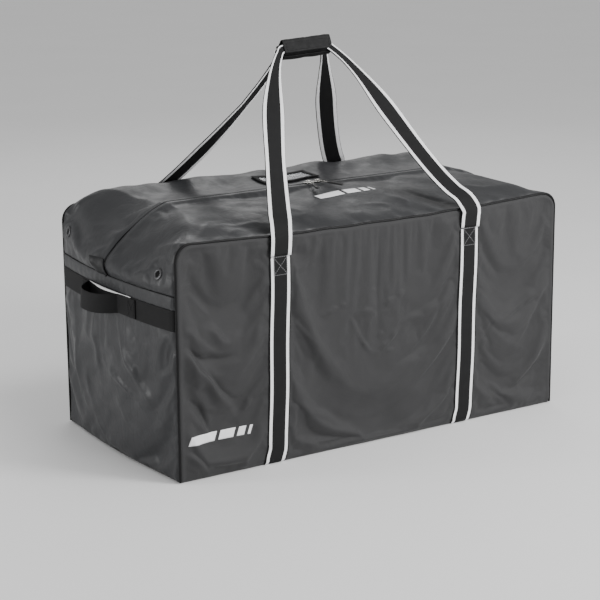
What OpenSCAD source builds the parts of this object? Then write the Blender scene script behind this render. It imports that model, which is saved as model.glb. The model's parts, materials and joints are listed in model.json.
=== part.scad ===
// Hockey equipment bag, made of coated cloth panels sewn into a long box.
// A two-way zip runs over the crowned top and down both ends. Two webbing loops meet over
// the middle in a padded wrap, and each end has a haul handle. The bag stands on its base:
// X runs along it, -Y is the front, Z is up and the origin is the middle of the base.

/* [Bag] */
// Length between the end corners
bag_l = 940; // [860:10:1000]
// Width from the front to the back
bag_w = 480; // [440:10:520]
// Height of the front and back top seams
bag_h = 476; // [460:2:500]
// Height of the seam across each end
end_seam_z = 373; // [365:1:380]
// Thickness of the coated cloth with its lining
cloth_t = 3; // [2.5:0.5:4]
// How far the top rises from its seams to the zip
crown = 32; // [20:2:40]
// How far each end bows out between its corners
end_bow = 16; // [10:1:24]
// Radius of the top corners at the front and back
corner_r = 35; // [30:1:45]
// Radius of the top corners at the zip
shoulder_r = 120; // [90:5:130]

/* [Webbing] */
// Width of the carry webbing
web_w = 50; // [38:2:52]
// Thickness of the webbing
web_t = 2.4; // [1.8:0.2:3]
// Distance of each strap from the middle of the bag
strap_x = 234; // [200:2:260]
// Height of the top of the box stitching that holds each loop
stitch_top_z = 424; // [410:2:430]
// Height of the box stitching
stitch_h = 38; // [30:2:44]

/* [Carry loops and wrap] */
// Height of the middle of the grips
grip_z = 797; // [780:1:820]
// Length of the wrap round the grips
wrap_l = 116; // [100:2:130]
// Depth of the wrap from front to back
wrap_d = 32; // [30:1:36]
// Height of the wrap
wrap_h = 40; // [36:1:44]
// Sideways lean of the two loops
wrap_x = -14; // [-20:1:20]

/* [Haul handles] */
// Width of the webbing across each end
band_w = 42; // [38:1:46]
// Height of the middle of that webbing
band_z = 326; // [315:1:335]
// How far each haul handle stands out
haul_out = 38; // [30:1:45]
// Half the open length of a haul handle
haul_half = 85; // [70:1:95]

/* [Zip] */
// Open strip of the zip between the cloth edges
zip_w = 22; // [18:1:26]
// Length of a slider
slider_l = 20; // [16:1:24]
// Length of a moulded pull grip
grip_l = 36; // [30:1:42]

/* [Hidden] */
$fn = 48;

cloth_color = "#454648";
web_color = "#29292a";
stripe_color = "#eeeeee";
metal_color = "#b9bbbd";
eye_color = "#3c3d3f";

gap = 0.3;                                  // room between separate pieces
base_t = 4;                                 // bottom panel, with the cloth's folded edges
pipe_r = 2.8;                               // piping cord in its cover
half_l = bag_l / 2;
half_w = bag_w / 2;
side_y = half_w - 2 * pipe_r + 1;           // ends and top halves stop here, inside the piping
stations = 16;                              // facets across a bowed or crowned panel
arc_steps = 8;                              // facets round a top corner

bow_r = (half_w * half_w + end_bow * end_bow) / (2 * end_bow);
crown_r = (half_w * half_w + crown * crown) / (2 * crown);

// Outer surface of the ends and of the top at a distance y from the middle
function end_x(y, inset = 0) =
    sqrt(pow(bow_r - inset, 2) - y * y) - (bow_r - half_l - end_bow);
function top_z(y, inset = 0) =
    sqrt(pow(crown_r - inset, 2) - y * y) - (crown_r - bag_h - crown);
function shoulder(y) =
    corner_r + (shoulder_r - corner_r) * (1 - pow(y / half_w, 2));
function spread(low, high, steps) =
    [for (i = [0 : steps]) low + (high - low) * i / steps];
function reversed(list) =
    [for (i = [len(list) - 1 : -1 : 0]) list[i]];
function unit(v) = v / norm(v);

// ---------------------------------------------------------------- shared shapes

// Closed solid through a row of rings, each a closed loop with the same number of points
module loft(rings) {
    k = len(rings[0]);
    n = len(rings);
    sides = [
        for (j = [0 : n - 2], i = [0 : k - 1])
            let (a = j * k + i, b = j * k + (i + 1) % k)
            for (face = [[a, b, b + k], [a, b + k, a + k]]) face
    ];
    first = [for (i = [k - 1 : -1 : 0]) i];
    last = [for (i = [0 : k - 1]) (n - 1) * k + i];
    polyhedron(points = [for (ring = rings) for (p = ring) p], faces = concat([first], sides, [last]));
}

// Plan outline of the whole box, with its bowed ends
module plan(inset, reach) {
    ys = spread(-reach, reach, stations);
    polygon(concat(
        [for (y = ys) [end_x(y, inset), y]],
        [for (y = reversed(ys)) [-end_x(y, inset), y]]
    ));
}

// Strip that follows the bowed right end between two offsets from its outer surface
module end_strip(inner, outer, reach) {
    ys = spread(-reach, reach, stations);
    polygon(concat(
        [for (y = ys) [end_x(y, outer), y]],
        [for (y = reversed(ys)) [end_x(y, inner), y]]
    ));
}

// Face of the bag seen from the front, with its two round top corners
module face(inset) {
    r = corner_r - inset;
    x = half_l - inset;
    z = bag_h - inset;
    translate([-x, 0]) square([2 * x, z - r]);
    translate([r - x, 0]) square([2 * (x - r), z]);
    for (side = [-1, 1]) translate([side * (x - r), z - r]) circle(r = r, $fn = 96);
}

// Stands an outline drawn in X and Z up, from y_front back to y_front + depth
module upright(y_front, depth) {
    translate([0, y_front + depth, 0]) rotate([90, 0, 0]) linear_extrude(depth) children();
}

module to_left() {
    mirror([1, 0, 0]) children();
}

module to_back() {
    mirror([0, 1, 0]) children();
}

// ---------------------------------------------------------------- box

groove_w = web_w + 2 * gap;

module bottom_panel() {
    color(cloth_color) difference() {
        linear_extrude(base_t) plan(0, half_w);
        for (side = [-1, 1])
            translate([side * strap_x - groove_w / 2, -half_w - 1, -1])
                cube([groove_w, bag_w + 2, web_t + gap + 1]);
    }
}

module face_panel() {
    upright(-half_w, cloth_t) intersection() {
        face(2 * pipe_r);
        translate([-half_l, base_t]) square([bag_l, bag_h]);
    }
}

module front_panel() {
    color(cloth_color) face_panel();
}

module back_panel() {
    color(cloth_color) to_back() face_panel();
}

module end_panel() {
    translate([0, 0, base_t]) linear_extrude(end_seam_z - base_t) end_strip(cloth_t, 0, side_y);
}

module left_end_panel() {
    color(cloth_color) to_left() end_panel();
}

module right_end_panel() {
    color(cloth_color) end_panel();
}

board_t = 2.5;
board_z = base_t + 0.2;

module base_board() {
    color("#1d1d1e") translate([0, 0, board_z]) linear_extrude(board_t) plan(cloth_t + 2, side_y - 2);
}

binding_h = 10;
binding_t = 1.2;

module seam_binding() {
    color("#1a1a1b") translate([0, 0, board_z + board_t + 0.8]) linear_extrude(binding_h) difference() {
        plan(cloth_t + gap, side_y - 1);
        plan(cloth_t + gap + binding_t, side_y - 1 - binding_t);
    }
}

// Cord along the top seam of the front, round both corners and down to the base
module piping() {
    bend_r = corner_r - pipe_r;
    x = half_l - pipe_r;
    z = bag_h - pipe_r;
    y = -half_w + 1.5;
    translate([-x + bend_r, y, z]) rotate([0, 90, 0]) cylinder(r = pipe_r, h = 2 * (x - bend_r));
    for (side = [-1, 1]) {
        translate([side * x, y, base_t]) cylinder(r = pipe_r, h = z - bend_r - base_t);
        translate([side * (x - bend_r), y, z - bend_r])
            rotate([90, 0, 0]) rotate([0, 0, side > 0 ? 0 : 90])
                rotate_extrude(angle = 90, $fn = 96) translate([bend_r, 0]) circle(r = pipe_r);
    }
}

module front_piping() {
    color("#161617") piping();
}

module back_piping() {
    color("#161617") to_back() piping();
}

// ---------------------------------------------------------------- top halves

// The zip edge of each skirt slopes away from the middle below the top seam, so that both
// halves clear each other as they lift
skirt_slope = 14;
function skirt_y(y, z) =
    y - skirt_slope * max(0, bag_h - z) / (bag_h - end_seam_z) * (y + side_y) / (side_y - zip_w / 2);

// The cloth's line over the bag at one distance from the middle, from the left end seam
// up and over to the right end seam
function over_line(y, inset) =
    let (
        r = shoulder(y) - inset,
        x = end_x(y, inset) - r,
        z = top_z(y, inset) - r,
        right = [for (a = spread(0, 90, arc_steps)) [x + r * cos(a), z + r * sin(a)]],
        left = [for (p = reversed(right)) [-p[0], p[1]]],
        foot = end_seam_z + gap
    )
    [for (p = concat([[x + r, foot]], right, left, [[-x - r, foot]])) [p[0], skirt_y(y, p[1]), p[1]]];

module top_half() {
    ys = spread(-side_y, -zip_w / 2, stations / 2);
    difference() {
        loft([for (y = ys) concat(over_line(y, 0), reversed(over_line(y, cloth_t)))]);
        for (side = [-1, 1])
            vent_place(side) translate([0, 0, -4 * cloth_t]) cylinder(r = vent_hole_r, h = 6 * cloth_t);
    }
}

module front_top_panel() {
    color(cloth_color) top_half();
}

module back_top_panel() {
    color(cloth_color) to_back() top_half();
}

vent_y = 190;
vent_z = 418;
vent_r = 12;                                // flange of the eyelet
vent_bore_r = 6;                            // hole through it
vent_hole_r = 8.5;                          // hole in the cloth

// Puts a piece on the end's outer surface with its axis pointing out of the bag
module vent_place(side) {
    lean = asin(vent_y / bow_r);
    translate([side * end_x(vent_y), -vent_y, vent_z])
        rotate([0, 0, -side * lean]) rotate([0, side * 90, 0]) children();
}

// Two-part eyelet, its flanges either side of the cloth, which curves in above it
module vent() {
    flange_t = 1.2;
    curve_room = 1;
    back = -cloth_t - curve_room - flange_t;
    rotate_extrude() {
        translate([vent_bore_r, back]) square([vent_hole_r - gap - vent_bore_r, flange_t + gap - back]);
        translate([vent_bore_r, gap]) square([vent_r - vent_bore_r, flange_t]);
        translate([vent_bore_r, back]) square([vent_r - vent_bore_r, flange_t]);
    }
}

module vent_pair() {
    for (side = [-1, 1]) vent_place(side) vent();
}

module front_vents() {
    color(eye_color) vent_pair();
}

module back_vents() {
    color(eye_color) to_back() vent_pair();
}

// ---------------------------------------------------------------- sewn straps

free_z = stitch_top_z + 2;                  // above here the webbing is not sewn down
strap_end_z = bag_h;
lift = 2;                                   // the free stretch stands this far off the panel

module strap(side) {
    x = side * strap_x - web_w / 2;
    color(web_color) {
        difference() {
            translate([x, -half_w - web_t, 0]) cube([web_w, bag_w + 2 * web_t, free_z + lift]);
            translate([x - 1, -half_w, web_t]) cube([web_w + 2, bag_w, bag_h]);
        }
        for (face = [-1, 1])
            translate([x, face * (half_w + lift + web_t / 2) - web_t / 2, free_z])
                cube([web_w, web_t, strap_end_z - free_z]);
    }
}

module left_strap() {
    strap(-1);
}

module right_strap() {
    strap(1);
}

// Box of thread with a cross in it
module stitch_box() {
    thread_w = 1.6;
    w = web_w - 5;
    cross = atan2(stitch_h, w);
    difference() {
        square([w, stitch_h], center = true);
        square([w - 2 * thread_w, stitch_h - 2 * thread_w], center = true);
    }
    intersection() {
        square([w, stitch_h], center = true);
        for (turn = [-cross, cross]) rotate(turn) square([2 * w, thread_w], center = true);
    }
}

module strap_stitching() {
    thread_t = 0.8;
    z = stitch_top_z - stitch_h / 2;
    color("#8d8e90") for (side = [-1, 1], turn = [0, 180])
        rotate([0, 0, turn])
            upright(-half_w - web_t - thread_t, thread_t)
                translate([side * strap_x, z]) stitch_box();
}

// ---------------------------------------------------------------- ends

module end_band() {
    translate([0, 0, band_z - band_w / 2]) linear_extrude(band_w) end_strip(0, -web_t, side_y);
}

module left_end_webbing() {
    color(web_color) to_left() end_band();
}

module right_end_webbing() {
    color(web_color) end_band();
}

tab_l = 27;                                 // sewn end of a haul handle

// Part of its full height that a smooth hump between -half and half has at y
function hump(y, half) = abs(y) < half ? pow(cos(90 * y / half), 2) : 0;

// Plan of a strip that stands off the webbing behind it in two humps, inner and outer
module haul_strip(near, thickness, inner, outer, reach) {
    ys = spread(-reach, reach, 2 * stations);
    polygon(concat(
        [for (y = ys) [end_x(y) + web_t + near + thickness + outer * hump(y, haul_half), y]],
        [for (y = reversed(ys)) [end_x(y) + web_t + near + inner * hump(y, haul_half), y]]
    ));
}

lining_t = 1;
lining_h = 7;
lining_out = 7;

module haul_handle() {
    translate([0, 0, band_z - band_w / 2 + 1]) linear_extrude(band_w - 2)
        haul_strip(0.1 + lining_t, web_t, haul_out, haul_out, haul_half + tab_l);
}

module left_haul_handle() {
    color(web_color) to_left() haul_handle();
}

module right_haul_handle() {
    color(web_color) haul_handle();
}

// Pale edge strip behind a haul handle, pulled out a little at its middle
module handle_lining() {
    translate([0, 0, band_z + band_w / 2 - lining_h]) linear_extrude(lining_h)
        haul_strip(0.05, lining_t, 0, lining_out, haul_half);
}

module left_handle_lining() {
    color(stripe_color) to_left() handle_lining();
}

module right_handle_lining() {
    color(stripe_color) handle_lining();
}

// ---------------------------------------------------------------- carry loops

hinge_y = half_w + 7;                       // line the loops fold about, just off the panels
hinge_z = bag_h + 2;
grip_y = 8;
grip_web = [26, 5];                         // folded webbing inside the wrap
leg_web = [web_w, web_t];
leg_steps = 12;
head_room = 8;                              // the webbing turns down this far outside the wrap

function bezier(p, t) =
    pow(1 - t, 3) * p[0] + 3 * pow(1 - t, 2) * t * p[1] + 3 * (1 - t) * t * t * p[2] + pow(t, 3) * p[3];

// Control points of one leg of the front loop, from the top seam to the wrap; it hangs in a
// shallow curve towards the top of the bag
function leg_curve(side) =
    let (
        foot = [side * strap_x, -hinge_y, hinge_z],
        head = [wrap_x + side * (wrap_l / 2 + head_room), -grip_y, grip_z]
    )
    [foot, foot + [-side * 50, 76, 60], head + [side * 70, -35, -55], head];

function ease(t) = t * t * (3 - 2 * t);
function leg_size(t) = leg_web + (grip_web - leg_web) * ease(max(0, (t - 0.75) / 0.25));

// Ring round the webbing at a point on its path; across is the direction of its width
function web_ring(point, across, along, size) =
    let (w = unit(across), n = unit(cross(w, along)))
    [for (c = [[1, 1], [-1, 1], [-1, -1], [1, -1]])
        point + c[0] * w * size[0] / 2 + c[1] * n * size[1] / 2];

// Rings of the leg on one side, from the top seam up; the webbing lies flat along X at the
// seam and stands on edge by the wrap
function leg_rings(side) =
    let (curve = leg_curve(side), outward = [0, -0.8, 0.6])
    [for (t = spread(0, 1, leg_steps))
        let (
            along = unit(bezier(curve, min(1, t + 0.01)) - bezier(curve, max(0, t - 0.01))) * -side,
            flat = unit(outward + [0, -0.2, -0.6] * ease(t)),
            free = unit(cross(along, flat)),
            seam = [-side, 0, 0],
            across = seam + (free - seam) * ease(min(1, 4 * t))
        )
        web_ring(bezier(curve, t), across, along, leg_size(t))];

module carry_loop() {
    left = leg_rings(-1);
    right = leg_rings(1);
    loft(concat(left, reversed(right)));
}

module front_handle() {
    color(web_color) carry_loop();
}

module back_handle() {
    color(web_color) to_back() carry_loop();
}

// ---------------------------------------------------------------- wrap

wrap_t = 2;
wrap_r = 12;
tongue_drop = 2.4;                          // hook and loop strips between sleeve and flap
seam_y = 0.2;                               // the sleeve and the flap part here, at the ridge

// Rounded section of the wrap, in Y and Z
module wrap_outline(inset) {
    d = wrap_d - 2 * inset;
    h = wrap_h - 2 * inset;
    r = wrap_r - inset;
    square([d - 2 * r, h], center = true);
    square([d, h - 2 * r], center = true);
    for (a = [-1, 1], b = [-1, 1]) translate([a * (d / 2 - r), b * (h / 2 - r)]) circle(r = r);
}

// Half of the wrap's wall, on the given side of the ridge
module wrap_wall(side) {
    intersection() {
        difference() {
            wrap_outline(0);
            wrap_outline(wrap_t);
        }
        translate([side > 0 ? seam_y : -wrap_d - seam_y, -wrap_h]) square([wrap_d, 2 * wrap_h]);
    }
}

// Runs a section in Y and Z along X, centred on the wrap
module along_wrap(length) {
    translate([wrap_x - length / 2, 0, grip_z]) rotate([90, 0, 90]) linear_extrude(length) children();
}

module wrap_sleeve() {
    color("#222223") along_wrap(wrap_l) wrap_wall(-1);
}

tongue_l = 14;                              // part of the flap that tucks under the sleeve

module wrap_flap() {
    low = -wrap_h / 2 - tongue_drop - wrap_t;
    color("#1e1e1f") along_wrap(wrap_l) {
        wrap_wall(1);
        translate([-tongue_l, low]) square([tongue_l + 4, wrap_t]);
        translate([2, low]) square([2, wrap_t + tongue_drop + wrap_t / 2]);
    }
}

strip_w = 9;

module fastener_strip(level) {
    along_wrap(wrap_l - 16)
        translate([-tongue_l + 1, -wrap_h / 2 - level * tongue_drop / 2]) square([strip_w, tongue_drop / 2]);
}

module wrap_hook_strip() {
    color("#101010") intersection() {
        fastener_strip(1);
        translate([-half_l, -wrap_d / 2 + wrap_r - 2, 0]) cube([bag_l, wrap_d, 2 * grip_z]);
    }
}

module wrap_loop_strip() {
    color("#101010") fastener_strip(2);
}

// ---------------------------------------------------------------- zip

coil_w = 2.1;
coil_edge = 0.3;                            // half the gap between the two coils
tape_inset = cloth_t + 0.8;                 // the tape lies under the cloth
tape_t = 1.2;
zip_z = bag_h + crown;

// Line of the zip over the bag, drawn in X and Z at a depth below the cloth's outer surface,
// and cut off level at its foot
module over_outline(inset, foot) {
    r = shoulder_r - inset;
    x = half_l + end_bow - inset;
    z = zip_z - inset;
    intersection() {
        union() {
            translate([-x, 0]) square([2 * x, z - r]);
            translate([r - x, 0]) square([2 * (x - r), z]);
            for (side = [-1, 1]) translate([side * (x - r), z - r]) circle(r = r, $fn = 192);
        }
        translate([-bag_l, foot]) square([2 * bag_l, zip_z]);
    }
}

module zip_band(y_front, width, outer, inner) {
    upright(y_front, width) difference() {
        over_outline(outer, end_seam_z + 2);
        over_outline(inner, end_seam_z);
    }
}

module zip_tape() {
    zip_band(-zip_w / 2 - 12, zip_w / 2 + 12 - coil_edge, tape_inset, tape_inset + tape_t);
}

module zip_coil() {
    zip_band(-coil_edge - coil_w, coil_w, coil_edge, tape_inset);
}

module front_zip_tape() {
    color("#1b1b1c") zip_tape();
}

module back_zip_tape() {
    color("#1b1b1c") to_back() zip_tape();
}

module front_zip_coil() {
    color("#0f0f10") zip_coil();
}

module back_zip_coil() {
    color("#0f0f10") to_back() zip_coil();
}

// Folded cloth tab that lies back from the lower end of the zip
module zip_tab() {
    translate([half_l + end_bow + 0.4, -3, end_seam_z - 12]) cube([2.5, 37, 42]);
}

module left_zip_tab() {
    color("#3a3b3d") to_left() zip_tab();
}

module right_zip_tab() {
    color("#3a3b3d") zip_tab();
}

// ---------------------------------------------------------------- sliders and pulls

slider_x = slider_l / 2 + 1.5;              // the two sliders meet nose to nose
pin_y = -3.2;
pin_z = zip_z + 5.4;
pin_r = 1;
plate_z = zip_z + 0.5;
plate_t = 1.8;
tape_top_z = zip_z - tape_inset;

// Slider for the right-hand run. Its plate stops at the middle of the zip, so the back
// coil can lift away from it.
module slider() {
    ear_gap = 8;
    translate([slider_x, 0, 0]) {
        difference() {
            union() {
                translate([-slider_l / 2, -8.2, plate_z]) cube([slider_l, 8, plate_t]);
                translate([-slider_l / 2, -8.2, tape_top_z + gap]) cube([slider_l, 1.6, plate_z - tape_top_z]);
                for (side = [-1, 1])
                    translate([side * (ear_gap / 2 + 0.9) - 0.9, pin_y - 2.2, plate_z + plate_t / 2])
                        cube([1.8, 4.4, pin_z + 2 - plate_z - plate_t / 2]);
            }
            for (end = [-1, 1])
                translate([end * slider_l / 2, -8.2, plate_z - 1]) rotate(45)
                    cube([4, 4, 4 * plate_t], center = true);
        }
        translate([-ear_gap / 2 - 1.5, pin_y, pin_z]) rotate([0, 90, 0]) cylinder(r = pin_r, h = ear_gap + 3);
    }
}

module left_slider() {
    color(metal_color) to_left() slider();
}

module right_slider() {
    color(metal_color) slider();
}

pull_dip = 3.5;                             // the pulls lie down towards the front
link_l = 24;
link_w = 4.6;
link_t = 1.8;
neck_l = 7;

// Frame of a pull: its eye is at the origin and its length runs along -Y
module pull_place(side) {
    translate([side * slider_x, pin_y, pin_z]) rotate([pull_dip, 0, 0]) children();
}

module pull_turn(turn) {
    translate([0, -neck_l, 0]) rotate([0, 0, turn]) children();
}

module pull_link(side, turn) {
    color(metal_color) pull_place(side) difference() {
        union() {
            translate([-3.6, 0, 0]) rotate([0, 90, 0]) cylinder(r = 2.4, h = 7.2);
            translate([-link_w / 2, -neck_l - 1.5, -link_t / 2]) cube([link_w, neck_l + 1.5, link_t]);
            pull_turn(turn) translate([-link_w / 2, -link_l, -link_t / 2]) cube([link_w, link_l, link_t]);
        }
        translate([-5, 0, 0]) rotate([0, 90, 0]) cylinder(r = pin_r + 0.08, h = 10);
    }
}

module pull_grip(side, turn) {
    end_r = 4.2;
    color("#141415") pull_place(side) pull_turn(turn)
        translate([0, -link_l - 0.05, -1.9]) linear_extrude(3.8) {
            translate([-end_r, -grip_l + end_r]) square([2 * end_r, grip_l - end_r]);
            translate([0, -grip_l + end_r]) circle(r = end_r);
        }
}

left_turn = -17;
right_turn = 24;

module left_pull_link() {
    pull_link(-1, left_turn);
}

module right_pull_link() {
    pull_link(1, right_turn);
}

module left_pull_grip() {
    pull_grip(-1, left_turn);
}

module right_pull_grip() {
    pull_grip(1, right_turn);
}

// ---------------------------------------------------------------- name window

id_size = [125, 68];
id_y = 89;
id_border = 9;

module id_place(level) {
    translate([0, id_y, top_z(id_y) + 0.9]) rotate([-asin(id_y / crown_r), 0, 0]) translate([0, 0, level]) children();
}

module id_sheet(margin, thickness) {
    linear_extrude(thickness) square([id_size[0] - 2 * margin, id_size[1] - 2 * margin], center = true);
}

module id_patch() {
    color("#1f1f20") id_place(0) id_sheet(0, 1);
}

module id_card() {
    color("#d9d9d6") id_place(1.05) id_sheet(id_border + 3, 0.4);
}

module id_window() {
    color("#b5b8bb", 0.4) id_place(1.5) id_sheet(2, 0.6);
}

module id_binding() {
    color("#19191a") id_place(2.15) difference() {
        id_sheet(0, 0.8);
        translate([0, 0, -1]) id_sheet(id_border, 3);
    }
}

// ---------------------------------------------------------------- drawn pieces

bottom_panel();
front_panel();
back_panel();
left_end_panel();
right_end_panel();
base_board();
seam_binding();
front_piping();
back_piping();
front_top_panel();
back_top_panel();
front_vents();
back_vents();
left_strap();
right_strap();
strap_stitching();
left_end_webbing();
right_end_webbing();
left_haul_handle();
right_haul_handle();
left_handle_lining();
right_handle_lining();
front_handle();
back_handle();
wrap_sleeve();
wrap_flap();
wrap_hook_strip();
wrap_loop_strip();
front_zip_tape();
back_zip_tape();
front_zip_coil();
back_zip_coil();
left_slider();
right_slider();
left_pull_link();
right_pull_link();
left_pull_grip();
right_pull_grip();
left_zip_tab();
right_zip_tab();
id_patch();
id_card();
id_window();
id_binding();
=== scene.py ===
"""Looks of the hockey equipment bag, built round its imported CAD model.

Each cloth panel is a fine grid with its folds shaped in code. A short cloth simulation lets
all but the flat base out a little while every seam is held, so that they pucker as sewn coated
cloth does, and then they get their thickness. Webbing, piping, zip, wrap and small parts are swept
or built in mesh code. Metres throughout: X runs along the bag, -Y is the front, Z is up.
"""
import itertools
import json
import math

import bpy
import numpy as np
from mathutils import Matrix, Vector
from mathutils.bvhtree import BVHTree


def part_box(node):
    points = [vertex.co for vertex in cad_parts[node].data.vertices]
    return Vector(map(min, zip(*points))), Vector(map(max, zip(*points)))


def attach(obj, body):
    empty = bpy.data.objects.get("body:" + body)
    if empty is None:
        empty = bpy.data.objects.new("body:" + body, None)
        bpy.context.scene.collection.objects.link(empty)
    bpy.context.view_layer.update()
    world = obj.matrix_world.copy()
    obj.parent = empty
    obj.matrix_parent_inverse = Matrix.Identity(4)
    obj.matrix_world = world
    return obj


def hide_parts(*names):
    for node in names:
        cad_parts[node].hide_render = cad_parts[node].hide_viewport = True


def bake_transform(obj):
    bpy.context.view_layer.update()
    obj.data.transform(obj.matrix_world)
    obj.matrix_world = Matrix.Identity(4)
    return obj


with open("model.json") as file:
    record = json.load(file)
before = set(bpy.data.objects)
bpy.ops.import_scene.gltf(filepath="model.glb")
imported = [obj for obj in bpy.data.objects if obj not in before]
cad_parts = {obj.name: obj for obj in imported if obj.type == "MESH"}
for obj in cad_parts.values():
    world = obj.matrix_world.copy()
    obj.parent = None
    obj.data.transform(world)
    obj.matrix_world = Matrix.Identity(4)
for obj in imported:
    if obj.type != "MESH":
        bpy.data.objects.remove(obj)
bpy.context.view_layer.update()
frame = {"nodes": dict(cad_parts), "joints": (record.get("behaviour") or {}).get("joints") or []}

# ---------------------------------------------------------------- sizes, from the frame

MM = 0.001
HALF_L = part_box("front_piping")[1].x
HALF_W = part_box("back_panel")[1].y
SIDE_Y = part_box("left_end_panel")[1].y
TOP_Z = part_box("front_piping")[1].z
SEAM_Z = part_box("left_end_panel")[1].z
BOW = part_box("right_end_panel")[1].x - HALF_L
SLIDER_RISE = 7.4 * MM                                  # top of a slider above the cloth line
ZIP_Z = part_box("left_slider")[1].z - SLIDER_RISE
WEB_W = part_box("left_strap")[1].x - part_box("left_strap")[0].x
STRAP_X = -(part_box("left_strap")[1].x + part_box("left_strap")[0].x) / 2
STITCH_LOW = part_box("strap_stitching")[0].z
STITCH_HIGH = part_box("strap_stitching")[1].z
BAND_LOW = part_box("left_end_webbing")[0].z
BAND_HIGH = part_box("left_end_webbing")[1].z
HINGE = Vector((0, HALF_W + 7 * MM, TOP_Z + 2 * MM))    # line that a carry loop folds about
CORNER_R = 35 * MM
SLIDE_END = 0.352                                       # the zip is straight this far each way
WEB_T = 2.4 * MM
CLOTH_T = 1.6 * MM

# ---------------------------------------------------------------- numbers and curves


def ease(t):
    t = np.clip(t, 0, 1)
    return t * t * (3 - 2 * t)


def unit(v):
    v = np.asarray(v, float)
    return v / np.maximum(np.linalg.norm(v, axis=-1, keepdims=True), 1e-12)


def distance_along(points):
    """How far along its line each point lies."""
    steps = np.linalg.norm(np.diff(points, axis=0), axis=1)
    return np.concatenate([[0], np.cumsum(steps)])


def square_to(vectors, tangent):
    """The vectors without their part along the line's direction, with length 1."""
    return unit(vectors - (vectors * tangent).sum(1, keepdims=True) * tangent)


def bell(distance, width):
    """1 at no distance, and falling smoothly to nothing some widths away."""
    return np.exp(-(distance / width)**2)


def resample(points, count):
    """The same line as count points, evenly spaced along it."""
    points = np.asarray(points, float)
    along = distance_along(points)
    wanted = np.linspace(0, along[-1], count)
    return np.stack([np.interp(wanted, along, points[:, i]) for i in range(points.shape[1])], 1)


def line_length(points):
    return float(np.linalg.norm(np.diff(np.asarray(points, float), axis=0), axis=1).sum())


def smooth_line(points, count=None, step=6 * MM, fine=16):
    """An even Catmull-Rom curve through the points."""
    p = np.asarray(points, float)
    p = np.vstack([2 * p[0] - p[1], p, 2 * p[-1] - p[-2]])
    out = []
    for i in range(1, len(p) - 2):
        t = np.linspace(0, 1, fine, endpoint=False)[:, None]
        a, b, c, d = p[i - 1:i + 3]
        out.append(0.5 * (2 * b + (c - a) * t + (2 * a - 5 * b + 4 * c - d) * t**2
                          + (3 * b - a - 3 * c + d) * t**3))
    out.append(p[-2:-1])
    dense = np.vstack(out)
    return resample(dense, count or max(4, int(round(line_length(dense) / step)) + 1))


def bezier(points, t):
    a, b, c, d = (np.asarray(q, float) for q in points)
    t = np.asarray(t, float)[:, None]
    return (1 - t)**3 * a + 3 * (1 - t)**2 * t * b + 3 * (1 - t) * t * t * c + t**3 * d


RIPPLE_WAVES = 9


def ripples(u, v, wavelength, seed):
    """Smooth uneven height, mostly from -1 to 1, from crossing waves with set directions."""
    rng = np.random.default_rng(seed)
    total = 0
    for _ in range(RIPPLE_WAVES):
        turn = rng.uniform(0, 2 * math.pi)
        length = wavelength * rng.uniform(0.7, 1.7)
        phase = rng.uniform(0, 2 * math.pi)
        total = total + np.sin(2 * math.pi * (u * math.cos(turn) + v * math.sin(turn)) / length + phase)
    return total / math.sqrt(RIPPLE_WAVES)


# ---------------------------------------------------------------- meshes


def add_mesh(name, verts, faces, materials, face_slots=None, uvs=None):
    mesh = bpy.data.meshes.new(name)
    mesh.from_pydata([tuple(map(float, v)) for v in verts], [], [tuple(map(int, f)) for f in faces])
    for material in materials:
        mesh.materials.append(material)
    if face_slots is not None:
        mesh.polygons.foreach_set("material_index", np.asarray(face_slots, np.int32))
    mesh.polygons.foreach_set("use_smooth", np.ones(len(mesh.polygons), bool))
    if uvs is not None:
        layer = mesh.uv_layers.new(name="UVMap")
        loops = np.zeros(len(mesh.loops), np.int32)
        mesh.loops.foreach_get("vertex_index", loops)
        layer.data.foreach_set("uv", np.asarray(uvs, np.float32)[loops].ravel())
    mesh.update()
    obj = bpy.data.objects.new(name, mesh)
    bpy.context.scene.collection.objects.link(obj)
    return obj


def grid_faces(n, m, flip=False, wrap=False):
    """Quads of an n by m grid of points; wrap joins the last column to the first."""
    out = []
    for i in range(n - 1):
        for j in range(m if wrap else m - 1):
            k = (j + 1) % m
            quad = (i * m + j, (i + 1) * m + j, (i + 1) * m + k, i * m + k)
            out.append(quad[::-1] if flip else quad)
    return out


def tube_faces(n, k, closed=False):
    """Quads round a tube of n rings of k points; closed joins its last ring to its first."""
    rings = grid_faces(n + 1 if closed else n, k, wrap=True)
    return [tuple(i % (n * k) for i in face) for face in rings]


def grid_mesh(name, points, materials, flip=False):
    n, m = points.shape[:2]
    return add_mesh(name, points.reshape(-1, 3), grid_faces(n, m, flip), materials)


def grid_normals(points, flip=False):
    """Normals of a grid of points, at each point."""
    du = np.gradient(points, axis=0)
    dv = np.gradient(points, axis=1)
    normal = unit(np.cross(du, dv))
    return -normal if flip else normal


def finished(obj, *modifiers):
    """Applies modifiers, each given as (type, settings), and keeps the resulting mesh."""
    for kind, settings in modifiers:
        modifier = obj.modifiers.new(kind.lower(), kind)
        for key, value in settings.items():
            setattr(modifier, key, value)
    graph = bpy.context.evaluated_depsgraph_get()
    mesh = bpy.data.meshes.new_from_object(obj.evaluated_get(graph))
    old = obj.data
    obj.modifiers.clear()
    obj.data = mesh
    bpy.data.meshes.remove(old)
    mesh.polygons.foreach_set("use_smooth", np.ones(len(mesh.polygons), bool))
    return obj


def joined(name, parts, material):
    """One object from several parts, each given as verts and faces."""
    verts, faces = [], []
    for part_verts, part_faces in parts:
        base = len(verts)
        verts += [tuple(v) for v in part_verts]
        faces += [tuple(i + base for i in f) for f in part_faces]
    return add_mesh(name, verts, faces, [material])


def fitted(obj, body, slot, *nodes):
    """Lets a piece ride on a body and stand for CAD nodes; slot is not used."""
    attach(obj, body)
    if nodes:
        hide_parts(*nodes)
    return obj


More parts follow.
